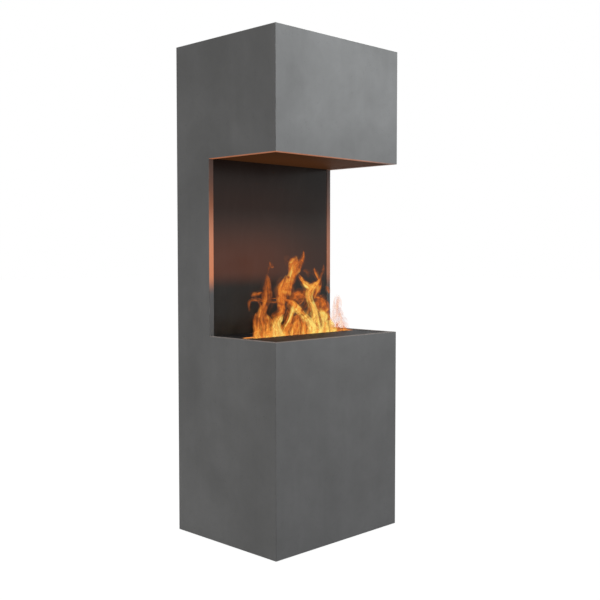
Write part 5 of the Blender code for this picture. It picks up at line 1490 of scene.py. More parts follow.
# Each tongue: the heat at its foot and at its tip, its veil, and its course, which is x, y, z and
# width in mm for each knot in turn. The tongues of the last group are cool, dark sheets of painted
# shade: they stand nearer the viewer, and darken the spaces between the others.
TONGUES: dict[str, tuple[Tongue, ...]] = {
    "flame_left": (
        (0.5, 0.42, 0.52, (-205, -50, 704, 6, -207, -52, 731, 6, -209, -53, 753, 5, -208, -54, 771, 6,
         -203, -54, 782, 7, -200, -54, 789, 2)),
        (0.72, 0.4, 0.55, (-193, -50, 704, 7, -189, -49, 730, 6, -187, -48, 752, 5, -184, -48, 773, 4,
         -176, -47, 791, 5, -176, -47, 808, 4, -179, -46, 821, 3)),
        (0.55, 0.24, 0.46, (-168, -50, 704, 13, -169, -48, 729, 12, -174, -47, 751, 11, -177, -46, 773, 10,
         -174, -44, 793, 8, -167, -43, 810, 9)),
        (0.58, 0.22, 0.44, (-156, -50, 704, 11, -154, -51, 728, 11, -156, -52, 750, 13, -164, -53, 773, 10,
         -171, -53, 786, 7, -176, -54, 804, 5)),
        (0.45, 0.3, 0.45, (-139, -50, 704, 7, -136, -49, 727, 6, -140, -48, 749, 6, -144, -47, 767, 4,
         -149, -46, 781, 3)),
        (0.33, 0.22, 0.5, (-161, -43, 774, 11, -153, -41, 798, 15, -147, -40, 816, 17, -143, -38, 833, 19,
         -138, -36, 850, 21, -135, -35, 868, 17, -133, -33, 886, 14, -133, -32, 899, 12, -136, -32, 910, 9,
         -135, -32, 918, 2)),
        (0.52, 0.32, 0.4, (-148, -43, 831, 3, -143, -43, 842, 5, -135, -42, 851, 5, -142, -42, 860, 5,
         -134, -42, 868, 4, -140, -41, 877, 4, -137, -41, 888, 3, -140, -40, 899, 2)),
    ),
    "flame_left_wisps": (
        (0.25, 0.25, 0.34, (-228, -50, 789, 3, -231, -50, 806, 4, -228, -50, 821, 5, -215, -50, 828, 5,
         -197, -50, 825, 5, -185, -50, 813, 5, -179, -50, 795, 4)),
        (0.48, 0.32, 0.46, (-229, -58, 840, 4, -220, -59, 847, 7, -205, -59, 848, 6, -189, -59, 852, 5,
         -179, -59, 853, 2)),
        (0.28, 0.24, 0.36, (-212, -50, 829, 3, -182, -50, 824, 3, -144, -50, 820, 4, -113, -50, 817, 5,
         -89, -50, 816, 2)),
        (0.28, 0.3, 0.32, (-162, -44, 829, 2, -131, -44, 829, 3, -107, -43, 830, 3, -88, -43, 830, 4)),
        (0.3, 0.3, 0.38, (-97, -30, 941, 2, -106, -30, 938, 7, -112, -30, 943, 9, -117, -30, 952, 5,
         -118, -30, 962, 1)),
        (0.22, 0.2, 0.2, (-127, -30, 914, 2, -125, -30, 925, 3, -121, -30, 939, 3, -118, -30, 950, 3,
         -119, -30, 961, 1)),
    ),
    "flame_middle": (
        (1.1, 0.55, 0.82, (-116, -50, 704, 17, -115, -50, 721, 17, -113, -50, 737, 15, -107, -50, 750, 13,
         -95, -50, 763, 10, -82, -50, 772, 6, -79, -50, 779, 1)),
        (0.78, 0.5, 0.6, (-129, -50, 704, 9, -129, -49, 727, 8, -127, -48, 742, 7, -120, -48, 755, 5,
         -111, -47, 766, 4, -104, -47, 774, 2)),
        (0.44, 0.36, 0.62, (-112, -55, 759, 7, -100, -56, 770, 13, -87, -56, 778, 16, -83, -57, 789, 14,
         -87, -58, 803, 13, -94, -59, 819, 12, -100, -61, 832, 10, -103, -62, 846, 11, -102, -63, 859, 13,
         -100, -64, 870, 10, -93, -64, 881, 13, -85, -65, 890, 13, -79, -66, 901, 10, -79, -66, 907, 7,
         -75, -66, 914, 1)),
        (0.92, 0.6, 0.6, (-101, -50, 703, 9, -94, -50, 725, 7, -88, -49, 742, 5, -78, -49, 757, 3,
         -71, -49, 769, 2)),
        (0.46, 0.36, 0.5, (-67, -41, 813, 13, -63, -40, 824, 20, -63, -39, 839, 26, -58, -37, 857, 28,
         -47, -36, 870, 26, -35, -35, 884, 17, -28, -34, 897, 9, -22, -34, 906, 2)),
        (0.38, 0.44, 0.64, (-59, -58, 829, 9, -54, -59, 853, 14, -49, -60, 873, 13, -41, -61, 891, 10,
         -34, -62, 904, 11, -33, -62, 918, 11, -36, -62, 931, 13, -39, -62, 945, 18, -34, -62, 956, 24,
         -26, -62, 965, 16, -24, -62, 973, 7, -23, -62, 978, 1)),
        (0.46, 0.44, 0.44, (-52, -54, 939, 3, -44, -54, 948, 11, -30, -54, 953, 15, -14, -54, 955, 15,
         -1, -54, 953, 11, 10, -54, 948, 4)),
        (0.42, 0.3, 0.7, (-26, -68, 937, 6, -12, -68, 947, 11, -1, -68, 956, 12, 6, -68, 969, 7,
         10, -68, 983, 5, 9, -68, 993, 3, 9, -68, 997, 1)),
        (0.38, 0.42, 0.42, (-12, -42, 892, 5, -5, -42, 906, 7, 0, -42, 917, 7, 5, -42, 928, 5,
         12, -42, 939, 4, 25, -42, 941, 2)),
        (0.56, 0.52, 0.42, (-108, -65, 854, 3, -104, -66, 859, 7, -91, -66, 863, 9, -77, -67, 871, 7,
         -66, -68, 880, 5, -56, -69, 890, 3)),
        (0.52, 0.48, 0.42, (-112, -67, 859, 2, -108, -68, 864, 7, -103, -69, 877, 7, -96, -71, 890, 7,
         -91, -72, 900, 3)),
    ),
    "flame_web": (
        (0.36, 0.98, 0.82, (-108, -57, 831, 3, -89, -56, 828, 6, -67, -56, 825, 7, -51, -56, 818, 11,
         -31, -55, 810, 15, -12, -55, 799, 15, 8, -54, 784, 14, 25, -53, 768, 12, 43, -53, 751, 12,
         57, -52, 736, 16, 74, -51, 726, 13)),
        (0.88, 0.92, 0.76, (-76, -50, 704, 5, -77, -50, 715, 6, -72, -51, 726, 5, -61, -51, 736, 6,
         -49, -51, 749, 7, -38, -51, 765, 8, -32, -52, 780, 10, -28, -52, 796, 12, -26, -52, 811, 9)),
        (0.8, 0.6, 0.6, (-64, -50, 703, 6, -54, -49, 716, 5, -44, -49, 726, 4, -38, -48, 737, 3,
         -33, -48, 745, 1)),
        (0.22, 0.2, 0.3, (-20, -38, 811, 17, -2, -36, 826, 33, 18, -35, 838, 35, 37, -34, 844, 20,
         54, -33, 850, 7)),
        (0.26, 0.24, 0.3, (-36, -41, 825, 7, -17, -41, 833, 11, 3, -40, 840, 13, 23, -40, 841, 9,
         37, -41, 834, 3)),
        (0.62, 0.45, 0.52, (-39, -50, 703, 11, -32, -49, 721, 13, -19, -49, 734, 13, -5, -49, 745, 10,
         8, -48, 753, 7, 16, -48, 759, 2)),
        (0.66, 0.42, 0.52, (-16, -50, 703, 11, -11, -51, 720, 13, -1, -51, 731, 13, 11, -51, 742, 11,
         18, -52, 750, 7, 20, -52, 758, 2)),
        (0.46, 0.36, 0.48, (6, -50, 702, 11, 13, -50, 716, 11, 23, -49, 727, 10, 36, -49, 736, 8,
         45, -49, 742, 3)),
        (0.5, 0.42, 0.5, (29, -50, 703, 11, 31, -51, 718, 10, 38, -51, 726, 7, 43, -51, 735, 2)),
        (0.32, 0.26, 0.36, (-26, -50, 701, 44, -10, -47, 727, 48, 8, -44, 753, 37, 7, -41, 773, 20,
         5, -40, 785, 4)),
        (0.34, 0.3, 0.36, (7, -44, 802, 6, 26, -43, 813, 6, 35, -43, 824, 3, 41, -42, 837, 2)),
        (0.72, 0.62, 0.52, (35, -53, 750, 2, 39, -54, 761, 3, 43, -54, 772, 5, 47, -55, 786, 4,
         41, -56, 799, 2)),
    ),
    "flame_right": (
        (1.12, 0.46, 0.88, (88, -50, 703, 22, 89, -50, 728, 26, 88, -50, 749, 24, 85, -50, 766, 24,
         78, -50, 782, 21, 72, -50, 796, 16, 62, -50, 808, 11, 54, -50, 820, 10, 54, -50, 834, 10,
         59, -50, 847, 12, 66, -50, 856, 13, 68, -50, 866, 10, 65, -50, 873, 3)),
        (0.78, 0.46, 0.8, (49, -59, 855, 7, 38, -60, 866, 10, 25, -60, 874, 9, 13, -61, 883, 7,
         3, -61, 891, 5, -6, -62, 899, 3, -11, -62, 907, 1)),
        (0.7, 0.68, 0.86, (67, -47, 856, 8, 82, -47, 867, 13, 96, -46, 876, 11, 106, -46, 884, 7,
         114, -46, 890, 3, 116, -46, 896, 1)),
        (0.34, 0.32, 0.48, (88, -41, 828, 7, 102, -40, 843, 9, 116, -39, 857, 8, 128, -38, 870, 7,
         129, -37, 882, 6, 123, -36, 894, 2)),
        (0.36, 0.42, 0.62, (108, -54, 879, 3, 101, -54, 890, 6, 92, -54, 904, 7, 84, -54, 916, 7,
         79, -54, 927, 6, 77, -54, 937, 1)),
        (0.28, 0.36, 0.52, (117, -45, 883, 2, 121, -44, 897, 3, 126, -44, 911, 4, 133, -44, 922, 7,
         137, -44, 934, 6, 136, -44, 946, 1)),
        (0.36, 0.34, 0.58, (64, -56, 815, 11, 82, -56, 826, 13, 98, -56, 827, 13, 116, -56, 818, 13,
         130, -55, 803, 12, 137, -55, 791, 8, 132, -54, 781, 2)),
        (0.34, 0.32, 0.42, (96, -46, 779, 11, 110, -45, 792, 20, 118, -45, 806, 24, 108, -44, 818, 17,
         93, -44, 826, 5)),
        (1.15, 1.0, 0.9, (95, -50, 703, 31, 94, -51, 727, 33, 91, -51, 742, 22, 86, -51, 757, 9)),
    ),
    "flame_far_right": (
        (1.3, 0.9, 0.85, (149, -50, 704, 24, 144, -49, 729, 24, 135, -49, 747, 20, 127, -49, 761, 15,
         120, -49, 773, 10, 117, -48, 782, 2)),
        (0.62, 0.42, 0.52, (166, -50, 705, 9, 161, -51, 730, 9, 157, -51, 748, 8, 154, -52, 762, 6,
         152, -52, 773, 1)),
        (0.62, 0.5, 0.42, (119, -50, 704, 9, 122, -48, 731, 7, 121, -48, 745, 4, 118, -47, 760, 2)),
        (0.4, 0.42, 0.6, (159, -50, 836, 1, 159, -50, 845, 6, 155, -50, 854, 8, 149, -50, 862, 8,
         140, -50, 867, 2)),
        (0.62, 0.45, 0.24, (184, -50, 705, 20, 183, -49, 733, 15, 182, -49, 756, 12, 186, -48, 780, 9,
         188, -48, 803, 7, 190, -48, 822, 4, 190, -47, 833, 1)),
        (0.56, 0.42, 0.26, (212, -50, 705, 22, 213, -51, 731, 20, 209, -52, 755, 17, 202, -52, 779, 13,
         198, -53, 798, 11, 204, -53, 815, 9, 211, -54, 829, 7, 211, -54, 837, 2)),
        (0.62, 0.5, 0.26, (239, -50, 706, 15, 238, -49, 725, 13, 232, -48, 742, 9, 229, -48, 756, 4,
         225, -47, 767, 1)),
        (0.25, 0.22, 0.32, (35, -38, 923, 2, 51, -38, 921, 9, 61, -38, 912, 11, 65, -38, 902, 7,
         68, -38, 897, 1)),
    ),
    "flame_bodies": (
        (0.5, 0.5, 0.72, (-39, -42, 835, 17, -41, -41, 853, 21, -35, -40, 874, 24, -25, -38, 895, 27,
         -18, -38, 917, 23, -15, -38, 935, 26, -10, -38, 953, 35, -4, -38, 967, 24, -2, -38, 978, 4)),
        (0.44, 0.36, 0.6, (-10, -46, 910, 12, 4, -46, 931, 19, 18, -46, 952, 17, 27, -46, 970, 12,
         31, -46, 983, 6, 32, -46, 994, 2)),
        (1.26, 0.82, 0.85, (-108, -50, 703, 33, -107, -49, 728, 35, -103, -48, 747, 30, -87, -47, 762, 19,
         -71, -46, 777, 6)),
        (0.36, 0.56, 0.78, (-79, -47, 765, 7, -78, -47, 783, 21, -79, -46, 808, 28, -77, -45, 833, 29,
         -69, -44, 861, 29, -58, -43, 885, 22, -50, -42, 910, 4)),
        (0.34, 0.32, 0.44, (-177, -50, 708, 28, -177, -49, 735, 31, -175, -48, 760, 29, -171, -47, 784, 26,
         -157, -47, 808, 22, -148, -46, 828, 26, -146, -45, 852, 28, -144, -45, 877, 23, -144, -44, 901, 14,
         -145, -44, 916, 3)),
        (0.42, 0.34, 0.42, (-197, -50, 708, 21, -201, -51, 737, 19, -202, -51, 761, 17, -201, -52, 778, 10,
         -201, -52, 789, 2)),
        (0.62, 0.46, 0.56, (-145, -50, 706, 26, -143, -50, 730, 26, -144, -51, 751, 22, -152, -51, 769, 14,
         -156, -51, 784, 3)),
        (0.13, 0.1, 0.62, (-45, -38, 817, 10, -19, -38, 823, 24, 5, -36, 837, 33, 31, -36, 843, 33,
         55, -36, 841, 21, 68, -37, 831, 4)),
        (0.22, 0.18, 0.5, (-44, -43, 792, 14, -27, -41, 817, 24, -1, -40, 828, 31, 30, -40, 829, 31,
         60, -41, 817, 14)),
        (1.15, 0.6, 0.88, (82, -50, 700, 23, 63, -51, 722, 31, 44, -51, 744, 28, 22, -52, 765, 23,
         -2, -53, 786, 23, -22, -53, 804, 20, -40, -54, 817, 12, -60, -54, 828, 3)),
        (0.74, 0.74, 0.6, (-74, -50, 708, 18, -63, -50, 731, 19, -46, -49, 753, 17, -33, -49, 774, 17,
         -22, -49, 794, 15, -15, -49, 806, 3)),
        (1.55, 0.54, 0.92, (93, -50, 702, 40, 93, -50, 724, 44, 96, -49, 746, 38, 91, -49, 768, 30,
         78, -48, 791, 24, 63, -48, 814, 23, 57, -47, 836, 23, 65, -47, 857, 23, 81, -47, 870, 19,
         102, -46, 880, 15, 118, -46, 890, 4)),
        (0.42, 0.38, 0.56, (80, -46, 818, 10, 92, -46, 840, 21, 101, -46, 860, 27, 108, -46, 876, 22,
         114, -46, 890, 10, 117, -46, 899, 3)),
        (0.82, 0.5, 0.76, (59, -56, 857, 12, 39, -57, 871, 17, 20, -57, 886, 15, 4, -58, 901, 9,
         -7, -58, 914, 2)),
        (1.16, 0.66, 0.86, (145, -50, 714, 42, 145, -49, 736, 35, 135, -48, 759, 30, 125, -48, 778, 21,
         121, -47, 792, 4)),
        (0.44, 0.26, 0.66, (157, -48, 736, 21, 155, -47, 762, 21, 149, -46, 788, 23, 134, -44, 811, 26,
         113, -44, 825, 22, 93, -43, 831, 6)),
        (0.32, 0.24, 0.62, (124, -43, 774, 21, 123, -42, 793, 35, 119, -40, 811, 33, 110, -39, 826, 10)),
        (0.5, 0.3, 0.66, (-51, -49, 714, 31, -44, -48, 735, 31, -33, -46, 756, 22, -20, -45, 771, 4)),
        (0.54, 0.32, 0.66, (-10, -49, 714, 33, -3, -48, 737, 33, 3, -47, 758, 22, 10, -46, 773, 4)),
        (0.42, 0.3, 0.6, (30, -49, 711, 31, 37, -48, 731, 31, 33, -47, 753, 22, 25, -46, 771, 4)),
        (1.6, 1.2, 0.9, (177, -50, 710, 24, 175, -49, 725, 21, 169, -49, 742, 5)),
        (0.5, 0.44, 0.34, (191, -50, 711, 28, 197, -50, 734, 26, 202, -50, 760, 24, 207, -50, 786, 26,
         207, -50, 812, 25, 200, -50, 831, 17, 194, -50, 842, 3)),
        (0.46, 0.4, 0.24, (235, -50, 709, 38, 238, -49, 731, 35, 228, -49, 755, 24, 216, -48, 778, 14,
         210, -48, 797, 3)),
        (0.26, 0.2, 0.34, (-225, -41, 789, 5, -224, -39, 810, 8, -217, -37, 825, 10, -193, -37, 829, 12,
         -170, -37, 825, 12, -147, -38, 821, 10, -109, -38, 818, 9, -84, -38, 822, 4)),
        (0.3, 0.26, 0.3, (-211, -36, 837, 6, -197, -35, 846, 12, -175, -35, 848, 10, -156, -34, 856, 5)),
        (0.4, 0.34, 0.4, (-125, -45, 764, 7, -114, -44, 774, 14, -95, -44, 778, 17, -75, -43, 783, 14,
         -59, -43, 789, 4)),
    ),
    "flame_gap_shade": (
        (0.04, 0.1, 0.74, (-192, -66, 712, 6, -193, -66, 734, 9, -196, -66, 755, 9, -198, -66, 772, 3)),
        (0.04, 0.1, 0.66, (-174, -66, 718, 3, -171, -66, 743, 6, -173, -66, 764, 3)),
        (0.02, 0.08, 0.78, (-150, -66, 713, 5, -148, -66, 735, 10, -150, -66, 752, 12, -154, -66, 770, 4)),
        (0.04, 0.06, 0.8, (-94, -66, 714, 3, -86, -66, 735, 8, -77, -66, 752, 12, -71, -66, 769, 15,
         -63, -66, 787, 12, -57, -66, 801, 3)),
        (0.06, 0.12, 0.72, (-57, -66, 711, 5, -51, -66, 729, 9, -45, -66, 747, 8, -40, -66, 761, 3)),
        (0.06, 0.12, 0.72, (-4, -66, 709, 6, -2, -66, 727, 10, -5, -66, 745, 9, -9, -66, 761, 3)),
        (0.05, 0.12, 0.7, (24, -66, 709, 4, 27, -66, 723, 8, 24, -66, 740, 3)),
        (0.02, 0.06, 0.82, (100, -66, 713, 5, 101, -66, 734, 9, 96, -66, 751, 9, 89, -66, 769, 7,
         81, -66, 785, 3)),
        (0.04, 0.08, 0.78, (54, -66, 760, 7, 49, -66, 778, 12, 42, -66, 800, 12, 37, -66, 819, 3)),
        (0.06, 0.1, 0.7, (-2, -66, 781, 6, 14, -66, 794, 12, 24, -66, 808, 12, 21, -66, 823, 3)),
        (0.06, 0.1, 0.6, (-27, -66, 753, 5, -13, -66, 763, 9, 3, -66, 770, 8, 19, -66, 762, 3)),
        (0.03, 0.08, 0.6, (146, -66, 709, 5, 141, -66, 726, 8, 138, -66, 745, 7, 136, -66, 760, 2)),
    ),
}


@dataclass
class Flames:
    """The lit vapour: tapering tongues that curl up out of the slot, in named groups.

    A tongue is a lens-shaped skin of rings along a smooth course. The ring point at angle a lies
    at centre + (width / 2) cos a * breadth + share (width / 2) sin a * other. The veil falls off
    from the middle line as |sin a| to a power, so no edge shows. Each tongue has a second,
    narrower skin at a right angle to the first, so that it has body from every side. All but the
    soft bodies, the gaps and the bed have a wide faint skin too, the glow of the vapour near them.
    """

    heading_deg: float = 45.1834
    thickness_share: float = 0.09
    swell: float = 1.26
    ripple: float = 0.10
    ripple_waves: tuple[float, float] = (9.0, 23.0)
    least_width: float = 0.0008
    tip_fade: float = 0.22
    foot_fade: float = 0.18
    fade_power: float = 0.8
    heat_power: float = 0.85
    crossed_share: float = 0.55
    crossed_veil: float = 0.42
    halo_width: float = 2.3
    halo_reach: float = 0.004
    halo_heat: float = 0.72
    halo_veil: float = 0.26
    halo_fall: float = 0.6
    edge_power: float = 1.35
    ring_sides: int = 14
    step: float = 0.0035
    foot: float = 0.6972
    rooted_below: float = 712.0
    bed_middle: float = -50.0
    bed_spread: float = 6.5
    bed_count: int = 150
    bed_foot: float = 702.0
    bed_tops: tuple[tuple[float, float], ...] = (
        (-212, 8), (-205, 62), (-190, 86), (-166, 62), (-140, 72), (-120, 50), (-98, 62),
        (-76, 34), (-50, 56), (-20, 66), (10, 62), (40, 44), (62, 60), (92, 84), (120, 62),
        (146, 74), (166, 52), (190, 34), (222, 26), (248, 12), (258, 6),
    )
    seed: int = 11

    def build(self, shop: Workshop) -> None:
        """Makes the groups of tongues, and the low bed of small ones along the slot.

        Args:
            shop: what makes the pieces.
        """
        draw = np.random.default_rng(self.seed)
        for name, tongues in (*TONGUES.items(), ("flame_bed", self._bed(draw))):
            halo = name not in ("flame_bodies", "flame_gap_shade", "flame_bed")
            skins = [skin for tongue in tongues for skin in self._tongue(tongue, draw, halo)]
            shop.add(name, joined(skins), "orange_lens", finish="lit_vapour")

    def _bed(self, draw: np.random.Generator) -> Iterable[Tongue]:
        """Small tongues along the slot, up to the bed's height there, each with one soft bend.

        Args:
            draw: the random draws.

        Yields:
            The tongues, one after the other.
        """
        places, tops = np.array(self.bed_tops, float).T
        for index in range(self.bed_count):
            share = (index + draw.uniform(0.0, 1.0)) / self.bed_count
            x = places[0] + (places[-1] - places[0]) * share
            y = self.bed_middle + draw.normal(0.0, self.bed_spread)
            tall = float(np.interp(x, places, tops)) * draw.uniform(0.45, 1.10)
            lean = draw.normal(0.0, 0.10) * tall
            bend = draw.normal(0.0, 0.09) * tall
            wide = draw.uniform(5.0, 13.0) * (0.55 + 0.45 * min(tall / 50.0, 1.0))
            hot = draw.uniform(0.0, 1.0)
            course = (
                *(x, y, self.bed_foot, wide),
                *(x + bend, y, self.bed_foot + 0.30 * tall, wide * 1.05),
                *(x + lean - bend, y, self.bed_foot + 0.60 * tall, wide * 0.75),
                *(x + lean, y, self.bed_foot + 0.85 * tall, wide * 0.40),
                *(x + lean + bend, y, self.bed_foot + tall, 1.0),
            )
            yield 0.40 + 0.58 * hot, 0.26 + 0.22 * hot, draw.uniform(0.16, 0.58), course

    def _tongue(self, tongue: Tongue, draw: np.random.Generator, halo: bool) -> list[Shell]:
        """The skins of one tongue, whose foot is carried down into the slot where it is low.

        Args:
            tongue: its heats, its veil and its course.
            draw: the random draws.
            halo: whether it has a glow.

        Returns:
            Its two crossed skins, and then its glow.
        """
        heat_foot, heat_tip, veil, numbers = tongue
        knots = np.array(numbers, float).reshape(-1, 4)
        rises = knots[0, 2] < self.rooted_below
        knots = knots * MM
        if rises:
            knots = np.concatenate((knots[:1], knots))
            knots[0, 2] = self.foot
        course = smooth_course(knots, self.step)
        turn = math.radians(self.heading_deg)
        aside = np.array((math.cos(turn), -math.sin(turn), 0.0))
        away = np.array((math.sin(turn), math.cos(turn), 0.0))
        along = np.linspace(0.0, 1.0, len(course))
        travel = along * len(course) * self.step
        phases = draw.uniform(0.0, 2.0 * math.pi, 3)
        slow, quick = (
            np.sin(count * along + phase) for count, phase in zip(self.ripple_waves, phases)
        )
        widths = course[:, 3] * (self.swell + self.ripple * (slow + quick))
        course[:, 3] = np.maximum(widths, self.least_width)
        fade = np.clip((1.0 - along) / self.tip_fade, 0.0, 1.0) ** self.fade_power
        if not rises:
            fade = fade * np.clip(along / self.foot_fade, 0.0, 1.0) ** self.fade_power
        heat = heat_foot + (heat_tip - heat_foot) * along**self.heat_power
        seed = draw.uniform(0.0, 40.0)
        veils = veil * fade
        narrow, wide = course.copy(), course.copy()
        narrow[:, 3] *= self.crossed_share
        crossed = (travel, heat, veils * self.crossed_veil, seed)
        skins = [
            self._skin(course, aside, away, (travel, heat, veils, seed)),
            self._skin(narrow, away, aside, crossed),
        ]
        if halo:
            wide[:, 3] = wide[:, 3] * self.halo_width + self.halo_reach
            faint = veils * self.halo_veil * (1.0 - self.halo_fall * along)
            glow = (travel, heat * self.halo_heat, faint, seed + 9.0)
            skins.append(self._skin(wide, aside, away, glow))
        return skins

    def _skin(
        self,
        course: np.ndarray,
        breadth: np.ndarray,
        other: np.ndarray,
        marks: tuple[np.ndarray, np.ndarray, np.ndarray, float],
    ) -> Shell:
        """One closed lens-shaped skin, with the marks ember, veil and flow at its points.

        Args:
            course: x, y, z and width, point by point.
            breadth: the way in which it is wide.
            other: the way in which it is thin.
            marks: the travel, heat and veil at each point, and the tongue's seed.

        Returns:
            The skin.
        """
        travel, heat, veil, seed = marks
        tangent = np.gradient(course[:, :3], axis=0)
        tangent /= np.linalg.norm(tangent, axis=1, keepdims=True)
        up = np.array((0.0, 0.0, 1.0))
        across = (tangent @ up)[:, None] * breadth - (tangent @ breadth)[:, None] * up
        across /= np.maximum(np.linalg.norm(across, axis=1, keepdims=True), 1e-6)
        cosine, sine = round_ways(self.ring_sides).T
        half = course[:, 3, None, None] / 2.0
        rings = (
            course[:, None, :3]
            + half * cosine[None, :, None] * across[:, None, :]
            + half * self.thickness_share * sine[None, :, None] * other
        )
        edge = np.abs(sine) ** self.edge_power
        veils = 1.0 - np.sqrt(1.0 - np.clip(veil[:, None] * edge[None, :], 0.0, 0.98))
        heats = heat[:, None] * (0.80 + 0.20 * edge[None, :])
        flow = np.broadcast_arrays(cosine[None, :], travel[:, None], np.full((1, 1), seed))
        return tube(rings, {"ember": heats, "veil": veils, "flow": np.stack(flow, axis=-1)})


@dataclass
class Carcass:
    """The unfaced boards inside the casing, with their edges eased."""

    ease: float = 0.0012
    names: tuple[tuple[str, str], ...] = (
        ("base_panel", "base_board"),
        ("niche_shelf", "shelf_board"),
        ("niche_ceiling_board", "ceiling_board"),
        ("spine_front_board", "spine_board"),
        ("shelf_bearer_front", "shelf_rail_front"),
        ("shelf_bearer_rear", "shelf_rail_rear"),
        ("ceiling_bearer_front", "ceiling_rail_front"),
        ("ceiling_bearer_rear", "ceiling_rail_rear"),
    )

    def build(self, shop: Workshop) -> None:
        """Makes the eight boards and rails."""
        shop.eased_rows((node, name, self.ease, 2) for node, name in self.names)


@dataclass
class RearSide:
    """The rear board with its air slots, the service door, the latch and the screws."""

    rear_face: float = 0.242
    door: tuple[float, float, float, float] = (-0.150, 0.150, 0.035, 0.455)
    inlet: tuple[float, float, float, float] = (0.2062, 0.2338, 0.0717, 0.1283)
    latch_hole: float = 0.0052
    latch_x: float = 0.130
    vent_half: float = 0.100
    vent_low: float = 0.560
    vent_pitch: float = 0.014
    vent_height: float = 0.006
    vent_count: int = 6
    ease: float = 0.0009
    screw_radius: float = 0.0039
    screw_rows: tuple[tuple[tuple[float, ...], tuple[float, ...]], ...] = (
        ((-0.271, 0.271), (0.030, 0.300, 0.520, 0.690, 0.900, 1.110, 1.318, 1.500, 1.662)),
        ((-0.15, 0.0, 0.15), (0.0125, 1.671)),
        ((-0.16, 0.0, 0.16), (0.668,)),
    )
    leaf_face: float = 0.2434
    leaf_inset: float = 0.0095
    leaf_screw_radius: float = 0.0030
    leaf_screws: tuple[float, ...] = (0.085, 0.165, 0.245, 0.325, 0.405)

    def build(self, shop: Workshop) -> None:
        """Makes the rear side's pieces.

        Args:
            shop: what makes the pieces.
        """
        lows = [self.vent_low + row * self.vent_pitch for row in range(self.vent_count)]
        vents = [(-self.vent_half, self.vent_half, z, z + self.vent_height) for z in lows]
        cuts = (self.door, self.inlet, *vents)
        rear = Board.of("rear_panel", Axis.Y, True, cuts=cuts, rounding=self.ease)
        shop.stand_in("rear_panel", "rear_board", rear.shell())
        door = Board.of("service_door", Axis.Y, True, rounding=self.ease)
        middle = float(door.low[2] + door.high[2]) / 2.0
        half = self.latch_hole
        door.cuts = ((self.latch_x - half, self.latch_x + half, middle - half, middle + half),)
        shop.stand_in("service_door", "door_board", door.shell())
        shop.eased("door_latch", "latch_knob", 0.0007, 3, "black_plastic")
        places = [(x, self.rear_face, z) for xs, zs in self.screw_rows for z in zs for x in xs]
        shop.screws("rear_board_screws", places, self.screw_radius)
        for leaf, body, end, way in (("fixed", "casing", 0, 1.0), ("moving", "door", 1, -1.0)):
            x = float(box_of(f"door_hinge_{leaf}")[end][0]) + way * self.leaf_inset
            places = [(x, self.leaf_face, z) for z in self.leaf_screws]
            shop.screws(f"hinge_screws_{leaf}", places, self.leaf_screw_radius, body=body)


@dataclass
class MainsInlet:
    """The mains socket in the rear board, its three pins, its screws and its rocker switch."""

    x: float = 0.220
    socket_z: float = 0.086
    pins: tuple[tuple[float, float], ...] = ((-0.0070, -0.0018), (0.0, 0.0024), (0.0070, -0.0018))
    pin_half: tuple[float, float] = (0.0010, 0.0022)
    pin_back: float = 0.2290
    pin_front: float = 0.2420
    flange_face: float = 0.2448
    screw_rises: tuple[float, float] = (0.0695, 0.1305)
    screw_radius: float = 0.0018
    mark_lift: float = 0.00025
    ring_radius: float = 0.0024
    ring_width: float = 0.0007
    stroke_size: tuple[float, float] = (0.0008, 0.0048)
    stroke_corner: float = 0.0003

    def build(self, shop: Workshop) -> None:
        """Makes the inlet's pieces.

        Args:
            shop: what makes the pieces.
        """
        shop.eased("mains_inlet", "inlet_body", 0.0004, whole_faces=False)
        shop.eased("mains_rocker", "rocker_key", 0.0006, 3, "black_plastic")
        half_x, half_z = self.pin_half
        pins = [
            bar(
                (self.x + x - half_x, self.pin_back, self.socket_z + z - half_z),
                (self.x + x + half_x, self.pin_front, self.socket_z + z + half_z),
                0.0005,
                Axis.Y,
            )
            for x, z in self.pins
        ]
        shop.add("inlet_pins", joined(pins), "lamp_aluminium", crease=40.0)
        places = [(self.x, self.flange_face, z) for z in self.screw_rises]
        shop.screws("inlet_screws", places, self.screw_radius)
        self._marks(shop)

    def _marks(self, shop: Workshop) -> None:
        """Puts the ring and the bar on the two halves of the rocker's face.

        Args:
            shop: what makes the pieces.
        """
        origin = (0.0, 0.0, 0.0)
        hoop = ((0.0, 0.0), (0.0, 1.0), (self.ring_width, 1.0), (self.ring_width, 0.0))
        ring = stacked(Outline.ring(self.ring_radius, 28), hoop, origin, looped=True)
        bar_outline = Outline.rounded(*self.stroke_size, self.stroke_corner, 3)
        stroke = stacked(bar_outline, hoop[:2], origin)
        centres, normals = rocker_faces()
        for index, flat in zip(np.argsort(centres[:, 2]), (ring, stroke)):
            normal = normals[index]
            flat.points = (
                centres[index]
                + flat.points[:, :1] * np.array((1.0, 0.0, 0.0))
                + flat.points[:, 1:2] * np.array((0.0, -normal[2], normal[1]))
                + flat.points[:, 2:] * normal * self.mark_lift
            )
        marks = joined((ring.outward(), stroke.outward()))
        shop.add("rocker_marks", marks, "pale_plastic", "rocker", crease=30.0)


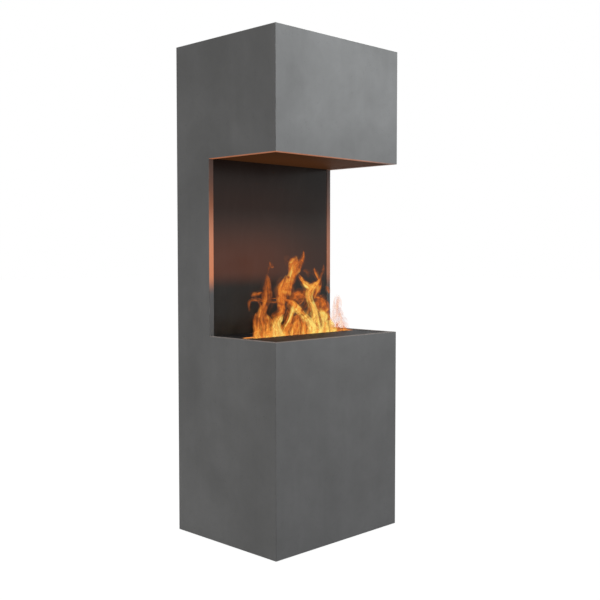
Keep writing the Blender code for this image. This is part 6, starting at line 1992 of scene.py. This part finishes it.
def rocker_faces() -> tuple[np.ndarray, np.ndarray]:
    """The middles and the outward directions of the two halves of the rocker's face.

    The CAD node's large rearward triangles are grouped by direction, and the two groups of the
    greatest area are the halves.

    Returns:
        Two points and two directions, one row each.
    """
    groups: list[list[tuple[np.ndarray, np.ndarray, float]]] = []
    for face in frame["nodes"]["mains_rocker"].data.polygons:
        if face.normal.y <= 0.85 or face.area <= 2e-5:
            continue
        row = (np.array(face.center), np.array(face.normal), face.area)
        alike = [group for group in groups if np.dot(group[0][1], row[1]) > 0.9995]
        if alike:
            alike[0].append(row)
        else:
            groups.append([row])
    groups = sorted(groups, key=lambda group: -sum(row[2] for row in group))[:2]
    centres = [
        sum(row[0] * row[2] for row in group) / sum(row[2] for row in group) for group in groups
    ]
    return np.array(centres), np.array([group[0][1] for group in groups])


@dataclass
class HearthFittings:
    """The filler flap and its neck, and the control strip with its three buttons."""

    drop_place: Point = (0.0, 0.0405, 0.701)
    drop_radius: float = 0.0042
    drop_tip: float = 0.0105
    strip_y: float = 0.040
    button_radius: float = 0.006
    button_top: float = 0.703
    button_under: float = 0.6962
    mark_sunk: float = -0.0005
    mark_lift: float = 0.00002
    mark_arm: float = 0.0024
    mark_half: float = 0.0003
    broken_ring_deg: tuple[float, float] = (125.0, 415.0)
    broken_ring_radii: tuple[float, float] = (0.0021, 0.0026)

    def build(self, shop: Workshop) -> None:
        """Makes the hearth's fittings.

        Args:
            shop: what makes the pieces.
        """
        shop.eased("filler_neck", "filler_frame", 0.0005)
        shop.eased("filler_flap", "filler_lid", 0.0006, 3)
        shop.eased("control_strip", "control_cover", 0.0006, 3)
        shop.add("filler_mark", self._drop(), "pale_plastic", "flap", crease=30.0)
        signs = (self._power_mark, self._plus_mark, self._minus_mark)
        for name, sign in zip(("power", "flame_up", "flame_down"), signs):
            node = f"{name}_button"
            low, high = box_of(node)
            centre = np.array(((low[0] + high[0]) / 2.0, self.strip_y, 0.0))
            key = self._key(centre, float(low[2]))
            shop.stand_in(node, f"{name}_key", key, "pale_plastic", 38.0)
            mark = sign(centre + (0.0, 0.0, self.button_top))
            body = frame["nodes"][node]["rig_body"]
            shop.add(f"{name}_key_mark", mark, "black_plastic", body, crease=30.0)

    def _key(self, centre: np.ndarray, low: float) -> Shell:
        """A button: post, flange, shank and a soft rim round a shallow dish.

        Args:
            centre: its axis.
            low: its lowest height.

        Returns:
            The button.
        """
        under, top = self.button_under, self.button_top
        steps = (
            *((0.0050, low), (0.0045, low), (0.0045, under), (-0.0018, under)),
            *((-0.0018, under + 0.0019), (0.0, under + 0.0020), (0.0, top - 0.0009)),
            *((0.00012, top - 0.0004), (0.00045, top - 0.0001), (0.0009, top)),
            *((0.0012, top - 0.00004), (0.0032, top - 0.00028), (0.0052, top - 0.00036)),
        )
        return stacked(Outline.ring(self.button_radius, 48), steps, centre)

    def _power_mark(self, top: np.ndarray) -> Shell:
        """A broken ring with a bar through its gap.

        Args:
            top: the middle of the button's top.

        Returns:
            The mark.
        """
        start, end = (math.radians(degrees) for degrees in self.broken_ring_deg)
        angle = np.linspace(start, end, 26)
        way = np.stack((np.cos(angle), np.sin(angle)), axis=1)
        inner, outer = self.broken_ring_radii
        rings = np.zeros((len(angle), 4, 3))
        rings[..., :2] = way[:, None, :] * np.array((inner, outer, outer, inner))[:, None]
        rings[..., 2] = np.array((self.mark_sunk, self.mark_sunk, 0.0, 0.0)) + self.mark_lift
        low, high = (-0.00025, 0.0012, self.mark_sunk), (0.00025, 0.0032, self.mark_lift)
        return joined((tube(rings + top), bar(top + low, top + high, 0.00012)))

    def _minus_mark(self, top: np.ndarray) -> Shell:
        """A level bar."""
        high = (self.mark_arm, self.mark_half, self.mark_lift)
        return bar(top + (-high[0], -high[1], self.mark_sunk), top + high, 0.00014)

    def _plus_mark(self, top: np.ndarray) -> Shell:
        """A level bar and one across it, in one outline.

        Args:
            top: the middle of the button's top.

        Returns:
            The mark.
        """
        arm, half = self.mark_arm, self.mark_half
        corners = (
            (arm, -half), (arm, half), (half, half), (half, arm), (-half, arm), (-half, half),
            (-arm, half), (-arm, -half), (-half, -half), (-half, -arm), (half, -arm), (half, -half),
        )
        steps = ((0.0, self.mark_sunk), (0.0, self.mark_lift))
        return stacked(Outline.cornered(corners), steps, top)

    def _drop(self) -> Shell:
        """A water drop: a circle whose upper half is drawn out to a point.

        Returns:
            The mark.
        """
        cosine, sine = round_ways(40).T
        x = self.drop_radius * cosine * np.where(sine > 0.0, 1.0 - sine * 0.9, 1.0)
        y = np.where(sine > 0.0, self.drop_tip * sine, self.drop_radius * sine)
        rim = np.stack((x, y), axis=1)
        steps = ((0.0, -0.0004), (0.0, 0.00012), (0.0018, 0.00018))
        return stacked(Outline(rim, -rim * 100.0), steps, self.drop_place)


@dataclass
class WaterSide:
    """The tank, its cap and level marks, the pump, the drain tap, the hoses and their clamps."""

    tank_back: float = 0.160
    cap_radius: float = 0.027
    cap_bore: float = 0.0222
    mark_x: float = -0.084
    mark_low: float = 0.060
    mark_pitch: float = 0.030
    mark_count: int = 6
    band_height: float = 0.007
    pump_face: float = 0.1222
    pump_z: float = 0.055
    pump_screw_ring: float = 0.0268
    pump_screw_radius: float = 0.0022
    hose_radius: float = 0.0055
    hose_sides: int = 24
    hose_step: float = 0.003
    hose_end: float = 0.0007
    routes: tuple[tuple[str, str, tuple[Point, ...]], ...] = (
        ("feed_hose", "feed_line", (
            (152.8, 65.0, 107.3), (152.8, 65.0, 139.0), (152.8, 65.0, 170.6),
            (173.35, 65.0, 333.5), (218.55, 54.5, 469.2), (235.0, 37.0, 543.9),
            (235.0, 16.0, 559.7), (235.0, 5.5, 559.7), (235.0, -20.0, 559.7),
        )),
        ("overflow_hose", "overflow_line", (
            (-200.0, -85.0, 499.4), (-200.0, -85.0, 480.45), (-200.0, -85.0, 461.5),
            (-161.0, -55.0, 392.85), (-85.6, 3.0, 324.15), (-70.0, 15.0, 295.75),
            (-70.0, 15.0, 279.2), (-70.0, 15.0, 262.6),
        )),
    )

    def build(self, shop: Workshop) -> None:
        """Makes the water side's pieces.

        Args:
            shop: what makes the pieces.
        """
        for node, name, route in self.routes:
            shop.stand_in(node, name, self._hose(np.array(route) * MM), crease=50.0)
        shop.eased("water_tank", "tank_body", 0.0014, 3)
        shop.eased("feed_pump", "pump_body", 0.0008)
        shop.eased("drain_valve", "tap_body", 0.0006)
        shop.eased("drain_lever", "tap_lever", 0.0009, 3)
        shop.stand_in("tank_cap", "tank_lid", self._cap(), crease=40.0)
        marks = joined(self._level_mark(index) for index in range(self.mark_count))
        shop.add("tank_level_marks", marks, "black_plastic", crease=40.0)
        ends = (("feed_hose", False), ("overflow_hose", False), ("overflow_hose", True))
        clamps = joined(part for node, upper in ends for part in self._clamp(node, upper))
        shop.add("hose_clamps", clamps, crease=40.0)
        low, high = box_of("feed_pump")
        middle_y = float(low[1] + high[1]) / 2.0
        turns = np.radians((45.0, 135.0, 225.0, 315.0))
        reach = self.pump_screw_ring
        places = [
            (self.pump_face, middle_y + reach * math.cos(turn), self.pump_z + reach * math.sin(turn))
            for turn in turns
        ]
        shop.screws("pump_screws", places, self.pump_screw_radius, Axis.X, -1.0)

    def _hose(self, knots: np.ndarray) -> Shell:
        """A round hose along the smooth curve through knots, with its two cut ends eased.

        The ring point at angle a lies at centre + radius (side cos a + other sin a), where side
        is the x axis made square to the curve, and other is square to both.

        Args:
            knots: points in metres.

        Returns:
            The hose.
        """
        course = smooth_course(knots, self.hose_step)
        tangent = np.gradient(course, axis=0)
        tangent /= np.linalg.norm(tangent, axis=1, keepdims=True)
        side = np.array((1.0, 0.0, 0.0)) - tangent[:, :1] * tangent
        side /= np.linalg.norm(side, axis=1, keepdims=True)
        other = np.cross(tangent, side)
        ends = [0, *range(len(course)), -1]
        radius = np.full(len(ends), self.hose_radius)
        radius[[0, -1]] -= self.hose_end
        centres = course[ends]
        centres[[1, -2]] += np.array((1.0, -1.0))[:, None] * self.hose_end * tangent[[0, -1]]
        cosine, sine = round_ways(self.hose_sides).T[..., None]
        spokes = side[ends][:, None] * cosine + other[ends][:, None] * sine
        return tube(centres[:, None] + radius[:, None, None] * spokes)

    def _cap(self) -> Shell:
        """The tank cap: a fluted skirt, a rounded rim, a dished top and a grip bar.

        Returns:
            The cap.
        """
        low, high = box_of("tank_cap")
        centre = np.array((*((low + high) / 2.0)[:2], low[2]))
        wall = self.cap_radius - self.cap_bore
        steps = (
            *((0.0008, 0.0), (0.0, 0.0008), (0.0, 0.0105), (0.0006, 0.0120), (0.0022, 0.0132)),
            *((0.0046, 0.0136), (0.0060, 0.0128), (0.0085, 0.0124), (0.0200, 0.0122)),
            *((0.0200, 0.0100), (wall + 0.0008, 0.0100), (wall, 0.0094), (wall, 0.0)),
        )
        skirt = stacked(Outline.waved(self.cap_radius, 0.0009, 24, 144), steps, centre, looped=True)
        disc = Outline.ring(self.cap_radius - 0.0190, 36)
        dish = stacked(disc, soft_edge(0.0101, 0.0122, 0.0003, 3), centre)
        far = centre + (0.0195, 0.0032, high[2] - low[2])
        return joined((skirt, dish, bar(centre + (-0.0195, -0.0032, 0.0108), far, 0.0022)))

    def _level_mark(self, index: int) -> Shell:
        """One raised level mark on the tank's rear wall. Every third one is long.

        Args:
            index: its number from the lowest.

        Returns:
            The mark.
        """
        z = self.mark_low + index * self.mark_pitch
        long = 0.018 if index % 3 == 0 else 0.010
        near = (self.mark_x, self.tank_back - 0.0004, z - 0.0006)
        far = (self.mark_x + long, self.tank_back + 0.0006, z + 0.0006)
        return bar(near, far, 0.0003, Axis.Y)

    def _clamp(self, node: str, upper: bool) -> tuple[Shell, Shell]:
        """A band clamp on an upright end of a hose.

        Args:
            node: the hose's CAD node.
            upper: whether it sits at the hose's highest point rather than at its lowest.

        Returns:
            The band and its screw housing.
        """
        points = np.array([vertex.co for vertex in frame["nodes"][node].data.vertices])
        level = points[:, 2].max() if upper else points[:, 2].min()
        near = points[np.abs(points[:, 2] - level) < 0.002]
        centre = (near.min(axis=0) + near.max(axis=0)) / 2.0
        centre[2] = level + (-0.016 if upper else 0.008)
        tall = self.band_height
        steps = ((0.0, 0.0), (0.0, tall), (0.0006, tall), (0.0006, 0.0))
        band = stacked(Outline.ring(0.0064, 28), steps, centre, looped=True)
        low, high = (-0.0032, -0.0112, 0.0), (0.0032, -0.0056, tall)
        return band, bar(centre + low, centre + high, 0.0009)


@dataclass
class ControlBox:
    """The control unit's box, with the ribs on its lid, its screws and a row of wire outlets."""

    top: float = 0.0623
    rib_count: int = 9
    rib_pitch: float = 0.008
    rib_half: float = 0.0012
    rib_reach: float = 0.026
    outlet_radius: float = 0.0045
    outlet_length: float = 0.0075
    outlet_z: float = 0.044
    outlets: tuple[float, ...] = (-0.024, -0.008, 0.008, 0.024)
    lid_screws: tuple[float, float] = (0.053, 0.033)
    ear_x: float = 0.022
    ear_inset: float = 0.006
    ear_face: float = 0.0255
    screw_radius: float = 0.0026

    def build(self, shop: Workshop) -> None:
        """Makes the control unit's pieces.

        Args:
            shop: what makes the pieces.
        """
        shop.eased("control_unit", "control_box", 0.0016, 3)
        low, high = box_of("control_unit")
        middle = (low + high) / 2.0
        start = middle[0] - self.rib_pitch * (self.rib_count - 1) / 2.0
        ribs = [
            bar(
                (x - self.rib_half, middle[1] - self.rib_reach, self.top - 0.0008),
                (x + self.rib_half, middle[1] + self.rib_reach, self.top + 0.0014),
                0.0007,
            )
            for x in (start + index * self.rib_pitch for index in range(self.rib_count))
        ]
        steps = soft_edge(-self.outlet_length, 0.0, 0.0009, 3)
        tip = Outline.ring(self.outlet_radius, 24)
        places = [(low[0] + 0.0002, middle[1] + shift, self.outlet_z) for shift in self.outlets]
        outlets = [stacked(tip, steps, place, Axis.X) for place in places]
        slot = SLOT_OF_NODE["control_unit"]
        shop.add("control_box_ribs", joined((*ribs, *outlets)), slot, crease=40.0)
        x, y = self.lid_screws
        places = [(middle[0] + a, middle[1] + b, self.top) for a in (-x, x) for b in (-y, y)]
        rows = (high[1] - self.ear_inset, low[1] + self.ear_inset)
        ears = (middle[0] - self.ear_x, middle[0] + self.ear_x)
        places += [(x, y, self.ear_face) for x in ears for y in rows]
        shop.screws("control_box_screws", places, self.screw_radius, Axis.Z)


@dataclass
class Insert:
    """The vapour insert's housing, nozzle, lamps, fans and mist makers, with their edges eased."""

    names: tuple[tuple[str, str, float], ...] = (
        ("insert_housing", "insert_tub", 0.0004),
        ("mist_nozzle", "vapour_nozzle", 0.0004),
        ("lamp_bar_front", "lamp_rail_front", 0.0007),
        ("lamp_bar_rear", "lamp_rail_rear", 0.0007),
        ("lamp_lens_front", "lamp_cover_front", 0.0010),
        ("lamp_lens_rear", "lamp_cover_rear", 0.0010),
        ("fan_frame_left", "fan_case_left", 0.0008),
        ("fan_frame_right", "fan_case_right", 0.0008),
        ("mist_maker_left", "mist_head_left", 0.0006),
        ("mist_maker_middle", "mist_head_middle", 0.0006),
        ("mist_maker_right", "mist_head_right", 0.0006),
    )
    fan_screw_inset: float = 0.0046
    fan_screw_radius: float = 0.0024

    def build(self, shop: Workshop) -> None:
        """Makes the insert's pieces, and the four screws in each fan's corners.

        Args:
            shop: what makes the pieces.
        """
        shop.eased_rows((*row, 2) for row in self.names)
        places = []
        for side in ("left", "right"):
            low, high = box_of(f"fan_frame_{side}")
            ends = np.stack((low + self.fan_screw_inset, high - self.fan_screw_inset))
            places += [(x, high[1], z) for x in ends[:, 0] for z in ends[:, 2]]
        shop.screws("fan_screws", places, self.fan_screw_radius)


@dataclass
class LevellingFeet:
    """Four feet: a domed pad with a hexagon on it and a threaded stem.

    The thread's radius at height z and angle t is root + depth * wave, where the wave is a
    triangle of (z - pitch * t / 2 pi) / pitch.
    """

    pad_radius: float = 0.018
    pad_steps: Steps = (
        (0.0030, 0.0), (0.0018, 0.0), (0.0006, 0.0005), (0.0, 0.0014), (0.0, 0.0042),
        (0.0008, 0.0056), (0.0030, 0.0066), (0.0062, 0.0072), (0.0074, 0.0074),
    )
    nut_radius: float = 0.0092
    nut_steps: Steps = ((0.0, 0.0068), (0.0, 0.0102), (0.0006, 0.0108))
    stem_radius: float = 0.005
    stem_low: float = 0.0104
    stem_top: float = 0.0507
    stem_sides: int = 20
    pitch: float = 0.0016
    depth: float = 0.0007

    def build(self, shop: Workshop) -> None:
        """Makes the four feet.

        Args:
            shop: what makes the pieces.
        """
        for number in range(1, 5):
            node = f"levelling_foot_{number}"
            low, high = box_of(node)
            centre = np.array((*((low + high) / 2.0)[:2], 0.0))
            pad = stacked(Outline.waved(self.pad_radius, 0.0006, 18, 72), self.pad_steps, centre)
            nut = stacked(Outline.cornered(self.nut_radius * round_ways(6)), self.nut_steps, centre)
            foot = joined((pad, nut, self._stem(centre)))
            shop.stand_in(node, f"foot_{number}", foot, crease=34.0)

    def _stem(self, centre: np.ndarray) -> Shell:
        """The threaded stem, with a plain tapered tip.

        Args:
            centre: the foot's axis on the floor.

        Returns:
            The stem.
        """
        sides = self.stem_sides
        heights = np.arange(self.stem_low, self.stem_top, self.pitch / 4.0)
        angle = np.linspace(0.0, 2.0 * math.pi, sides, endpoint=False)
        phase = (heights[:, None] - self.pitch * angle[None, :] / (2.0 * math.pi)) / self.pitch
        wave = 1.0 - np.abs(2.0 * (phase % 1.0) - 1.0)
        room = np.clip((self.stem_top - heights) / 0.003, 0.0, 1.0)[:, None]
        radius = (self.stem_radius - self.depth) * (0.72 + 0.28 * room) + self.depth * wave * room
        rises = np.repeat(heights[:, None], sides, 1)
        rings = np.stack((radius * np.cos(angle), radius * np.sin(angle), rises), axis=-1)
        return tube(rings + centre)


@dataclass
class Studio:
    """The floor, the lamp, the world and the camera."""

    eye: Point = (-2.29238, -2.33688, 0.98054)
    heading_deg: float = 45.1834
    down_deg: float = 2.82199
    lens: float = 55.158
    sensor: float = 36.0
    sky: Colour = (1.0, 0.985, 0.965)
    front_sky: Colour = (1.0, 1.02, 1.065)
    sky_strength: float = 0.485
    floor_half: float = 30.0
    floor_colour: Colour = (0.92, 0.92, 0.92)
    floor_glow: float = 1.13
    floor_share: float = 0.86
    key_place: Point = (0.35, -2.25, 2.55)
    key_target: Point = (0.04, -0.25, 1.64)
    key_size: float = 0.5
    key_power: float = 4.85
    key_colour: Colour = (0.93, 0.97, 1.0)
    key_spread_deg: float = 52.0
    clear_bounces: int = 48

    def build(self) -> None:
        """Makes the whole studio."""
        self._camera()
        self._world()
        self._floor()
        self._lamp()
        bpy.context.scene.view_settings.view_transform = "Standard"
        bpy.context.scene.cycles.transparent_max_bounces = self.clear_bounces

    def _camera(self) -> None:
        """Sets the camera at the photograph's place: level turn, then tilt."""
        data = bpy.data.cameras.new("photo_camera")
        data.lens = self.lens
        data.sensor_width = self.sensor
        camera = bpy.data.objects.new("photo_camera", data)
        camera.location = self.eye
        tilt, turn = math.radians(90.0 - self.down_deg), -math.radians(self.heading_deg)
        camera.rotation_euler = (tilt, 0.0, turn)
        bpy.context.scene.collection.objects.link(camera)
        bpy.context.scene.camera = camera

    def _world(self) -> None:
        """A sky that lights the object, and shows plain white to the eye and in reflections.

        Its light is a little warm, and turns a little cool towards the front.
        """
        world = bpy.data.worlds.new("studio_world")
        recipe = Recipe(world)
        y = recipe.parts(recipe.signal("Generated", "ShaderNodeTexCoord"))[1]
        sockets = {"Value": y, "From Min": 0.2, "From Max": -0.6}
        front = recipe.signal(0, "ShaderNodeMapRange", None, sockets)
        tint = recipe.blend(front, self.sky, self.front_sky)
        light = {"Color": tint, "Strength": self.sky_strength}
        lighting = recipe.node("ShaderNodeBackground", None, light)
        recipe.seen_mix(1.0, lighting, recipe.node("ShaderNodeBackground", None, {"Color": WHITE}))
        bpy.context.scene.world = world

    def _floor(self) -> None:
        """A pale floor that looks white and keeps a soft shadow."""
        mesh = bpy.data.meshes.new("studio_floor")
        ways = ((-1, -1), (1, -1), (1, 1), (-1, 1))
        corners = [(x * self.floor_half, y * self.floor_half, 0.0) for x, y in ways]
        mesh.from_pydata(corners, [], [(0, 1, 2, 3)])
        recipe = Recipe(bpy.data.materials.new("studio_floor"))
        matte = recipe.node("ShaderNodeBsdfDiffuse", None, {"Color": self.floor_colour})
        light = {"Color": WHITE, "Strength": self.floor_glow}
        recipe.seen_mix(self.floor_share, matte, recipe.node("ShaderNodeEmission", None, light))
        mesh.materials.append(recipe.owner)
        floor = bpy.data.objects.new("studio_floor", mesh)
        bpy.context.scene.collection.objects.link(floor)
        floor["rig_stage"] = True

    def _lamp(self) -> None:
        """Hangs the square soft lamp, turned to its target."""
        data = bpy.data.lights.new("key_lamp", "AREA")
        data.size = self.key_size
        data.energy = self.key_power
        data.color = self.key_colour
        data.spread = math.radians(self.key_spread_deg)
        lamp = bpy.data.objects.new("key_lamp", data)
        lamp.location = self.key_place
        lamp.visible_camera = False
        lamp.visible_glossy = False
        way = np.array(self.key_target) - np.array(self.key_place)
        tilt = math.pi / 2 + math.atan2(way[2], math.hypot(way[0], way[1]))
        lamp.rotation_euler = (tilt, 0.0, math.atan2(way[1], way[0]) - math.pi / 2)
        bpy.context.scene.collection.objects.link(lamp)


def dress_cad_nodes(shop: Workshop) -> None:
    """Gives every CAD node the finish of the slot that the record names for it.

    Args:
        shop: what holds the finishes.
    """
    for name, slot in SLOT_OF_NODE.items():
        node = frame["nodes"][name]
        node.data.materials.clear()
        node.data.materials.append(shop.paint(slot))


def write_sizes() -> None:
    """Writes the CAD model's box and the visual model's box side by side."""
    boxes = {
        name: [[float(value) for value in corner] for corner in box]
        for name, box in (("cad", CAD_BOX), ("visual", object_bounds()))
    }
    LOG.info("sizes: %s", boxes)


def main() -> None:
    """Builds the studio and the sub-assemblies in order."""
    logging.basicConfig(level=logging.INFO, format="%(name)s: %(message)s")
    Studio().build()
    shop = Workshop()
    dress_cad_nodes(shop)
    outside = (Casing(), Niche(), Flames(), Carcass(), RearSide(), MainsInlet())
    inside = (HearthFittings(), WaterSide(), ControlBox(), Insert(), LevellingFeet())
    for assembly in outside + inside:
        assembly.build(shop)
    write_sizes()


if __name__ == "__main__":
    main()
